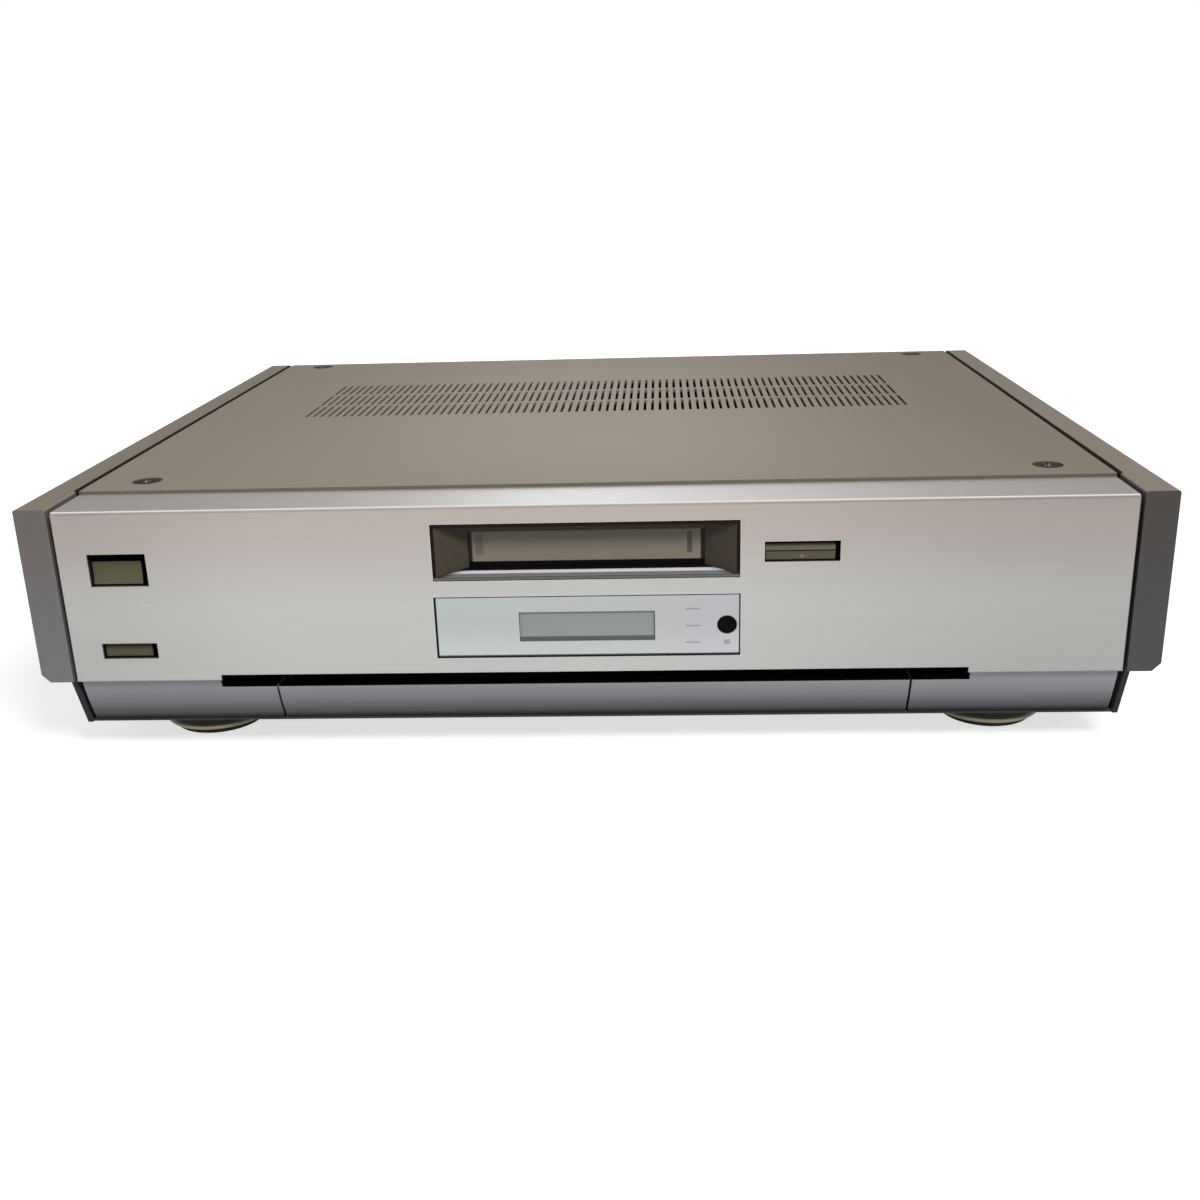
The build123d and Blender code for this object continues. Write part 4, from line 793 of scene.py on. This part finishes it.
def plaque(outline, centre, pose, rise, rim=0.12 * MM):
    """Grid of a thin plate with a rounded rim.

    Row k is the outline scaled about its middle by s(k) at the height h(k): it climbs from below the
    surface to the rise at the rim, then runs in to a point.
    """
    outline = np.asarray(outline, dtype=float)
    middle = outline.mean(axis=0)
    reach = np.abs(outline - middle).max()
    scale = np.array([1.0, 1.0, 1.0 - 0.3 * rim / reach, 1.0 - rim / reach, 0.5, 0.0])
    height = np.array([-rise, 0.4 * rise, 0.85 * rise, rise, rise, rise])
    flat = middle + scale[:, None, None] * (outline - middle)[None]
    tall = np.broadcast_to(height[:, None, None], (*flat.shape[:2], 1))
    return np.asarray(centre) + np.concatenate([flat, tall], axis=-1) @ pose


def polygon(corners, steps=6):
    """Points along the straight sides between corners."""
    corners = np.asarray(corners, dtype=float)
    share = np.arange(steps)[None, :, None] / steps
    ahead = np.roll(corners, -1, axis=0)
    return (corners[:, None] + share * (ahead - corners)[:, None]).reshape(-1, 2)


def triangle(x, size, way=1):
    """Triangle that points to the right, or to the left with way = -1."""
    reach = way * size / 2
    return polygon([(x - reach, -size / 2), (x + reach, 0), (x - reach, size / 2)])


def bar(x, y, width, height):
    """Upright or lying bar."""
    across, up = width / 2, height / 2
    return polygon([(x - across, y - up), (x + across, y - up), (x + across, y + up), (x - across, y + up)])


def disc(size):
    """Round spot."""
    angle = turn_angles(32)
    return np.stack([np.cos(angle), np.sin(angle)], axis=1) * size / 2


def screw_heads(sizes):
    """Grids of the case screws: a dome of revolution with a cross sunk into it, and the shank behind.

    The dome falls as the square of the radius. Within the cross, where the smaller of |x| and |y| is under
    half the arm's width and the larger one under its reach, it lies deeper by the recess depth.
    """
    def cross(radius, height, angle):
        x = np.abs(radius * np.cos(angle))
        y = np.abs(radius * np.sin(angle))
        across = np.clip((sizes.recess_width / 2 - np.minimum(x, y)) / (0.25 * MM) + 0.5, 0, 1)
        along = np.clip((sizes.recess_reach - np.maximum(x, y)) / (0.3 * MM) + 0.5, 0, 1)
        return radius, height - sizes.recess_depth * across * along * (height > -0.6 * MM)

    def head(*measures):
        rim, rise, shank, reach = (measure * MM for measure in measures)
        fine = 3.2 * MM
        radii = np.concatenate([np.linspace(0, fine, 30), np.linspace(fine, rim, 8)[1:]])
        dome = [(radius, -0.3 * rise * (radius / rim) ** 2) for radius in radii]
        return dome + [(rim, -0.45 * rise), (rim, -rise), (shank, -rise), (shank, -reach), (0.0, -reach)]

    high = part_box("case_screws")[1]
    side = SCREW_X * MM
    spots = [((x, y * MM, high.z), UPWARD, head(6.1, 1.2, 2.0, 5.2))
             for x in (-side, side) for y in TOP_SCREW_ROWS]
    spots += [((x, high.y, z * MM), BACKWARD, head(3.0, 1.6, 1.5, 5.6))
              for x in (-side, 0.0, side) for z in REAR_SCREW_ROWS]
    return [turned(profile, spot, pose, 120, cross) for spot, pose, profile in spots]


class DECK_OT_case(bpy.types.Operator):
    """Finish the case: plate, fascia, cheeks, chin, pan and rear panel"""

    bl_idname = "deck.case"
    bl_label = "Case"

    def execute(self, context):
        colours = context.scene.deck_colours
        paint(champagne_plate(colours), "top_plate")
        paint(brushed_fascia(colours), "fascia")
        paint(anodised_cheek(colours), "left_cheek", "right_cheek")
        paint(chin_coating(colours), "chin_ends", "drawer_front")
        paint(skirt_coating(colours), "side_skirts")
        paint(coated_metal("base_steel", colours.steel, 0.7, 0.2, 0.45), "base_pan", "rear_panel")
        return {"FINISHED"}


class DECK_OT_front(bpy.types.Operator):
    """Finish the front's pieces: bezel, door, buttons, display and slot"""

    bl_idname = "deck.front"
    bl_label = "Front pieces"

    def execute(self, context):
        colours = context.scene.deck_colours
        paint(shaded_bezel(colours), "cassette_bezel")
        paint(smoked_plastic(colours), "cassette_door")
        # Bands of painted light and shade on the caps, and the depth of their painted shadow at the top and
        # right.
        plain = [(0.0, 1.25), (0.75, 1.05)]
        stepped = [(0.12, 1.7), (0.22, 1.5), (0.46, 1.2), (0.5, 0.2), (0.54, 1.15), (0.78, 1.05)]
        for node, light_and_shade_bands, brow_shadow, side in (
                ("power_button", plain, 5.6, 5.0), ("timer_button", plain, 2.7, 4.8),
                ("eject_button", stepped, 3.2, 3.6)):
            paint(olive_cap(node, colours, light_and_shade_bands, brow_shadow, side), node)
        paint(
            moulded("black_plastic", colours.black, 0.5, specular=0.12),
            "front_frame", "key_switches", "drawer_rails", "board_parts", "phono_block", "power_inlet",
            "foot_drums")
        # Painted shade: the finger slot's liner is near black with almost no gloss.
        paint(moulded("slot_painted_shade", "040404", 0.7, wear_and_glint=1.1, specular=0.02), "finger_slot_liner")
        paint(pale_panel(colours), "display_panel")
        paint(grey_window(colours), "display_window")
        paint(dark_glass("display_glass", "2c3a3a"), "display_module")
        paint(dark_glass("black_lens", "070506", 0.3, 0.04), "infrared_lens")
        return {"FINISHED"}


class DECK_OT_inside(bpy.types.Operator):
    """Finish the drawer, the tape mechanism and the electronics"""

    bl_idname = "deck.inside"
    bl_label = "Inside"

    def execute(self, context):
        colours = context.scene.deck_colours
        keys = [name for name in frame["nodes"] if name.endswith("_key")]
        paint(
            moulded("grey_key", colours.key, 0.34, wear_and_glint=1.3),
            "supply_reel_table", "takeup_reel_table", *keys)
        paint(
            moulded("charcoal_tray", colours.tray, 0.5, grain=0.8, depth=0.08), "drawer_tray", "drawer_top")
        paint(
            plated_steel("zinc_steel", colours.zinc),
            "mechanism_deck", "deck_sides", "carriage", "cassette_holder", "capstan",
            "pinch_arm", "loading_motor", "tape_guides")
        # Painted shade: the drawer bay takes a dark copy of the steel's colour.
        paint(coated_metal("bay_painted_shade", shade(colours.steel, 0.3), 0.6, 0.2, 0.5), "drawer_bay")
        paint(turned_metal("dial_aluminium", colours.aluminium, "jog_dial"), "jog_dial")
        paint(turned_metal("drum_aluminium", colours.aluminium, "upper_drum"), "lower_drum", "upper_drum")
        paint(circuit_board(colours), "circuit_boards", "drawer_board")
        paint(laminated_core(), "transformer_core")
        paint(coated_metal("black_sink", colours.black, 0.5, 0.6, 0.4), "heat_sink")
        paint(shrunk_sleeve(colours), "smoothing_capacitors")
        paint(plated_steel("bearing_metal", colours.nickel), "capstan_bearing")
        paint(soft_rubber("roller_rubber", "191919"), "pinch_roller")
        paint(soft_rubber("rubber_pad", "3a382f"), "foot_pads")
        return {"FINISHED"}


class DECK_OT_screws(bpy.types.Operator):
    """Make the screws: domed heads with a cross recess"""

    bl_idname = "deck.screws"
    bl_label = "Screws"

    def execute(self, context):
        finish = blackened_screw(context.scene.deck_colours.screw)
        surface(
            "cross_screws", screw_heads(context.scene.deck_sizes), finish, "chassis",
            ["case_screws"])
        return {"FINISHED"}


class DECK_OT_feet(bpy.types.Operator):
    """Make the turned rings round the feet"""

    bl_idname = "deck.feet"
    bl_label = "Foot rings"

    def execute(self, context):
        """The ring's outer radius falls by the groove depth where the cosine of the height peaks."""
        sizes = context.scene.deck_sizes
        low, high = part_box("foot_rings")
        outer = 24 * MM
        inner = 21.6 * MM
        edge = 0.8 * MM
        height = np.linspace(low.z + edge, high.z - edge, 34)
        phase = (height - height[0]) / (height[-1] - height[0]) * sizes.grooves * 2 * np.pi
        wall = outer - sizes.groove_depth * (0.5 - 0.5 * np.cos(phase)) ** 3
        profile = [(inner, low.z), (outer - edge, low.z), *zip(wall, height), (outer - edge, high.z),
                   (inner, high.z), (inner, low.z)]
        spots = [(x, y, 0) for x in (low.x + outer, high.x - outer) for y in (low.y + outer, high.y - outer)]
        grids = [turned(profile, spot, count=96) for spot in spots]
        finish = ring_metal(context.scene.deck_colours)
        surface("turned_foot_rings", grids, finish, "chassis", ["foot_rings"])
        return {"FINISHED"}


class DECK_OT_shuttle(bpy.types.Operator):
    """Make the shuttle ring with its finger ridges"""

    bl_idname = "deck.shuttle"
    bl_label = "Shuttle ring"

    def execute(self, context):
        """Round the outer wall the radius falls by the ridge depth times a raised cosine of the angle."""
        sizes = context.scene.deck_sizes
        low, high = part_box("shuttle_ring")
        outer = (high.x - low.x) / 2
        bore = 15.3 * MM
        sleeve = 22 * MM
        grip = 23.4 * MM
        seat = high.z - 3.6 * MM
        wall = [(outer, seat), (outer, seat + 0.8 * MM), (outer - 0.3 * MM, seat + 1.4 * MM),
                (outer - 1.5 * MM, high.z - 0.5 * MM), (outer - 2.1 * MM, high.z - 0.1 * MM)]
        profile = [(bore, low.z), (sleeve, low.z), (sleeve, seat), *wall, (outer - 3.2 * MM, high.z),
                   (18.6 * MM, high.z), (18.2 * MM, high.z - 0.35 * MM), (17.8 * MM, high.z), (bore, high.z),
                   (bore, low.z)]

        def ridged(radius, height, angle):
            share = np.clip((radius - grip) / MM, 0, 1)
            ridge = (0.5 + 0.5 * np.cos(sizes.ridges * angle)) ** 2
            return radius - share * sizes.ridge_depth * ridge, height

        middle = centre_of("shuttle_ring")
        grid = turned(crisp(profile), (middle.x, middle.y, 0), count=sizes.ridges * 6, swell=ridged)
        finish = moulded("ring_plastic", context.scene.deck_colours.black, 0.42, wear_and_glint=1.5)
        surface("ridged_shuttle_ring", [grid], finish, "shuttle_ring", ["shuttle_ring"])
        return {"FINISHED"}


class DECK_OT_symbols(bpy.types.Operator):
    """Print the transport symbols on the keys and the eject symbol on its button"""

    bl_idname = "deck.symbols"
    bl_label = "Symbols"

    def execute(self, context):
        """Each symbol is a set of thin plates that lie on the key's face."""
        rise = context.scene.deck_sizes.print_rise
        size = 5.2 * MM
        signs = {
            "rewind_key": [triangle(-size / 2, size, -1), triangle(size / 2, size, -1)],
            "play_key": [triangle(0, size)],
            "fast_forward_key": [triangle(-size / 2, size), triangle(size / 2, size)],
            "record_key": [disc(size)],
            "pause_key": [bar(-size / 3.2, 0, size / 3, size), bar(size / 3.2, 0, size / 3, size)],
            "stop_key": [bar(0, 0, size, size)],
        }
        ink = printed_ink("symbol_ink", context.scene.deck_colours.legend)
        for key, outlines in signs.items():
            middle = centre_of(key)
            top = (middle.x, middle.y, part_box(key)[1].z)
            grids = [plaque(outline, top, UPWARD, rise) for outline in outlines]
            surface(key.replace("_key", "_symbol"), grids, ink, body_of(key), smooth=False)
        low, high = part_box("eject_button")
        lean = math.atan2(1.2, 3.5)
        down, back = math.sin(lean), math.cos(lean)
        facet = np.array([(1, 0, 0), (0, -down, back), (0, -back, -down)])
        spot = ((low.x + high.x) / 2, low.y + 0.6 * MM, low.z + 3.65 * MM)
        arrow = polygon([(-0.9 * MM, -0.1 * MM), (0.9 * MM, -0.1 * MM), (0, 0.8 * MM)])
        line = bar(0, -0.55 * MM, 1.8 * MM, 0.4 * MM)
        grids = [plaque(outline, spot, facet, rise) for outline in (arrow, line)]
        ink = printed_ink("eject_ink", context.scene.deck_colours.eject_legend)
        surface("eject_symbol", grids, ink, "eject_button", smooth=False)
        return {"FINISHED"}


class DECK_OT_sill(bpy.types.Operator):
    """Make the polished strip along the lower edge of the bezel"""

    bl_idname = "deck.sill"
    bl_label = "Sill strip"

    def execute(self, context):
        """A crowned section runs along the lower slope: at the share v of its depth it stands out by a sine
        of v, and its ends follow the slant of the bezel's side walls.
        """
        low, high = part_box("cassette_bezel")
        middle = (low.x + high.x) / 2
        face = low.y
        slope_low = 81.8 * MM
        lift, taper = 2.1 / 8, 12.7 / 8
        front, back, thick, crown = 0.15 * MM, 4.9 * MM, 0.2 * MM, 0.3 * MM
        share = np.linspace(0, 1, 14)
        top = np.stack([front + (back - front) * share, thick + crown * np.sin(np.pi * share)], axis=1)
        under = np.stack([np.linspace(back, front, 6), np.full(6, -0.1 * MM)], axis=1)
        section = np.concatenate([top, under])
        centre = section.mean(axis=0)
        along = np.concatenate([[-1, -1], np.linspace(-1, 1, 25)[1:-1], [1, 1]])
        closed = np.ones(len(along))
        closed[[0, -1]] = 0
        spread = centre + closed[:, None, None] * (section - centre)[None]
        depth, rise = spread[..., 0], spread[..., 1]
        half = 60.2 * MM - depth * taper
        grid = np.stack(
            [middle + along[:, None] * half, face + depth, slope_low + depth * lift + rise], axis=-1)
        finish = polished_strip(context.scene.deck_colours.sill)
        surface("sill_strip", [grid], finish, "chassis")
        return {"FINISHED"}


class DECK_OT_sockets(bpy.types.Operator):
    """Make the phono sockets: thin metal shells and coloured inserts with a centre hole"""

    bl_idname = "deck.sockets"
    bl_label = "Phono sockets"

    def execute(self, context):
        """Shells and inserts are profiles of radius and height turned about each socket's axis."""
        sizes = context.scene.deck_sizes
        colours = context.scene.deck_colours
        low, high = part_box("phono_shells")
        outer = 4.15 * MM
        pitch = 18 * MM
        inner = outer - sizes.shell_wall
        start = low.y - high.y
        floor = -sizes.insert_drop
        shell = crisp([
            (inner, start), (outer, start), (outer, -0.3 * MM), (outer - 0.12 * MM, -0.05 * MM),
            (outer - 0.3 * MM, 0), (inner + 0.1 * MM, -0.05 * MM), (inner, -0.3 * MM), (inner, start)])
        insert = crisp([
            (0.0, start), (inner, start), (inner, floor), (2.4 * MM, floor), (2.2 * MM, floor - 0.3 * MM),
            (1.6 * MM, floor - 0.35 * MM), (1.6 * MM, start + 0.6 * MM), (0.0, start + 0.6 * MM)])
        spots = [[(low.x + outer + column * pitch, high.y, low.z + outer + row * pitch)
                  for column in range(first, 6, 3) for row in range(2)] for first in range(3)]
        metal = plated_steel("phono_metal", colours.nickel)
        surface("socket_shells", [turned(shell, spot, BACKWARD) for group in spots for spot in group],
                metal, "chassis", ["phono_shells"])
        for name, tone, group in zip(("yellow", "white", "red"), ("c79a1a", "cfcdc6", "a3211c"), spots):
            surface(f"{name}_inserts", [turned(insert, spot, BACKWARD) for spot in group],
                    moulded(f"{name}_plastic", tone, 0.35, wear_and_glint=1.1), "chassis")
        return {"FINISHED"}


class DECK_OT_winding(bpy.types.Operator):
    """Wind the transformer's coil round the core's centre leg"""

    bl_idname = "deck.winding"
    bl_label = "Winding"

    def execute(self, context):
        """Rounded rectangles stacked up the leg: at height z the outer wall stands out by 0.45 of the wire
        times the absolute sine of pi z over the wire's pitch. A rectangle is a circle whose sine and cosine
        are raised to a small power.
        """
        pitch = context.scene.deck_sizes.wire
        middle = centre_of("transformer_core")
        half_height = 12.9 * MM
        turns = int(2 * half_height / pitch)
        share = np.linspace(-1, 1, turns * 6 + 1)
        scallop = 0.45 * pitch * np.abs(np.sin(np.pi * turns * (share + 1) / 2))
        angle = turn_angles(96)
        circle = np.stack([np.cos(angle), np.sin(angle)], axis=1)
        rectangle = np.sign(circle) * np.abs(circle) ** 0.35
        half_width = 15.1 * MM
        wall = rectangle * (half_width, 21.0 * MM) * (1 + scallop[:, None, None] / half_width)
        inner = (rectangle * (6.9 * MM, 13.15 * MM))[None]
        rings = np.concatenate([inner, wall, inner, inner])
        height = np.concatenate([[-1], share, [1, -1]]) * half_height
        tall = np.broadcast_to(height[:, None, None], (*rings.shape[:2], 1))
        grid = np.array(middle) + np.concatenate([rings, tall], axis=-1)
        finish = wound_wire(context.scene.deck_colours, pitch)
        surface("coil_winding", [grid], finish, "chassis")
        return {"FINISHED"}


class DECK_OT_stage(bpy.types.Operator):
    """Make the floor, the even light, the lamp, the flag and the camera"""

    bl_idname = "deck.stage"
    bl_label = "Stage"

    def execute(self, context):
        studio = context.scene.deck_studio
        make_floor(context.scene.deck_colours.floor)
        make_sky(context.scene, studio.ambient)
        make_lamp("key_lamp", (0.51, -1.11, 1.18), (0.0, -0.1, 0.05), (0.45, 0.45), studio.key_power)
        make_flag(studio.flag_tone)
        make_camera(context.scene, studio)
        context.scene.view_settings.view_transform = "Standard"
        return {"FINISHED"}


def stage_board(name, low, high, finish):
    """One flat face of the stage, from its lower left to its upper right corner."""
    (left, front, foot), (right, back, top) = low, high
    mesh = bpy.data.meshes.new(name)
    corners = [(left, front, foot), (right, front, foot), (right, back, top), (left, back, top)]
    mesh.from_pydata(corners, [], [(0, 1, 2, 3)])
    mesh.materials.append(finish.material)
    board = bpy.data.objects.new(name, mesh)
    bpy.context.scene.collection.objects.link(board)
    return board


def make_floor(tone):
    """Large floor plate: pale with the deck's soft shadow nearby, and plain white farther away."""
    finish = Finish("studio_floor", shade(tone, 0.58))
    finish.blend(finish.noise(400), shade(tone, 0.6))
    away = finish.add("VectorMath", {0: finish.place}, "Value", operation="LENGTH")
    glow = finish.seen() * (0.68 + finish.span(away, 280, 800) * 0.32)
    finish.done(0.8, Emission_Color=WHITE, Emission_Strength=glow)
    reach = 6.0
    stage_board("floor", (-reach, -reach, 0), (reach, reach, 0), finish)


def make_flag(tone):
    """Wide board behind the deck that only its metal mirrors: white in its middle and grey to its ends."""
    finish = Finish("studio_flag")
    reach, depth, low, high = 2.6, 1.6, 0.15, 1.6
    grey = (tone, tone * 0.88, tone * 0.72)
    stops = [(-reach, grey), (-1.0, grey), (-0.55, (0.38, 0.36, 0.34)), (-0.34, (0.62, 0.6, 0.6)),
             (-0.24, WHITE), (-0.06, WHITE), (0.06, (0.78, 0.78, 0.78)), (0.26, (0.6, 0.58, 0.57)),
             (0.5, (0.4, 0.37, 0.34)), (0.95, grey), (reach, grey)]
    shares = [((x + reach) / (2 * reach), tint) for x, tint in stops]
    tint = finish.ramp(finish.axis("X"), -reach / MM, reach / MM, shares)
    finish.close("Material", finish.add("Emission", {"Color": tint, "Strength": 1.0}))
    flag = stage_board("flag", (-reach, depth, low), (reach, depth, high), finish)
    for ray in ("camera", "diffuse", "shadow", "transmission"):
        setattr(flag, f"visible_{ray}", False)


def make_sky(scene, strength):
    """Even light from all sides, seen as plain white."""
    scene.world = bpy.data.worlds.new("studio_sky")
    nodes = Nodes(scene.world)
    light = nodes.add("MapRange", {"Value": nodes.seen(), "To Min": strength, "To Max": 1.0})
    nodes.close("World", nodes.add("Background", {"Color": WHITE, "Strength": light}))


def make_lamp(name, place, target, size, power):
    """Soft rectangular lamp that faces a point."""
    light = bpy.data.lights.new(name, "AREA")
    light.shape = "RECTANGLE"
    light.size, light.size_y = size
    light.energy = power
    lamp = bpy.data.objects.new(name, light)
    bpy.context.scene.collection.objects.link(lamp)
    away = np.array(place) - np.array(target)
    lamp.location = place
    pitch = math.acos(away[2] / np.linalg.norm(away))
    lamp.rotation_euler = (pitch, 0.0, math.atan2(away[0], -away[1]))
    lamp.visible_glossy = False


def make_camera(scene, studio):
    """Camera at the viewing angle of the photograph: its right, up and back directions."""
    right = (0.99868327, 0.04243161, -0.02883198)
    up = (0.0134001, 0.3267442, 0.94501781)
    back = (0.04951931, -0.94415983, 0.32574538)
    lens = bpy.data.cameras.new("deck_camera")
    lens.lens = studio.lens
    lens.sensor_width = 36.0
    lens.clip_start = 0.01
    camera = bpy.data.objects.new("deck_camera", lens)
    scene.collection.objects.link(camera)
    turn = Matrix([right, up, back]).transposed().to_4x4()
    camera.matrix_world = Matrix.Translation(studio.camera) @ turn
    scene.camera = camera


class DECK_PT_sidebar(bpy.types.Panel):
    """Buttons for every piece, in the order they are made"""

    bl_idname = "DECK_PT_sidebar"
    bl_label = "Cassette deck"
    bl_space_type = "VIEW_3D"
    bl_region_type = "UI"
    bl_category = "Deck"

    def draw(self, context):
        for operator in OPERATORS:
            self.layout.operator(operator.bl_idname)
        for group in (context.scene.deck_colours, context.scene.deck_sizes, context.scene.deck_studio):
            box = self.layout.box()
            for key in group.__annotations__:
                box.prop(group, key)


GROUPS = {"deck_colours": DeckColours, "deck_sizes": DeckSizes, "deck_studio": DeckStudio}
OPERATORS = (
    DECK_OT_case, DECK_OT_front, DECK_OT_inside, DECK_OT_screws, DECK_OT_feet, DECK_OT_shuttle,
    DECK_OT_symbols, DECK_OT_sill, DECK_OT_sockets, DECK_OT_winding, DECK_OT_stage)


def register():
    for kind in (*GROUPS.values(), *OPERATORS, DECK_PT_sidebar):
        bpy.utils.register_class(kind)
    for name, group in GROUPS.items():
        setattr(bpy.types.Scene, name, PointerProperty(type=group))


def unregister():
    for name in GROUPS:
        delattr(bpy.types.Scene, name)
    for kind in reversed((*GROUPS.values(), *OPERATORS, DECK_PT_sidebar)):
        bpy.utils.unregister_class(kind)


def main():
    """Make everything in order."""
    register()
    for operator in OPERATORS:
        getattr(bpy.ops.deck, operator.bl_idname.split(".")[1])()


if __name__ == "__main__":
    main()
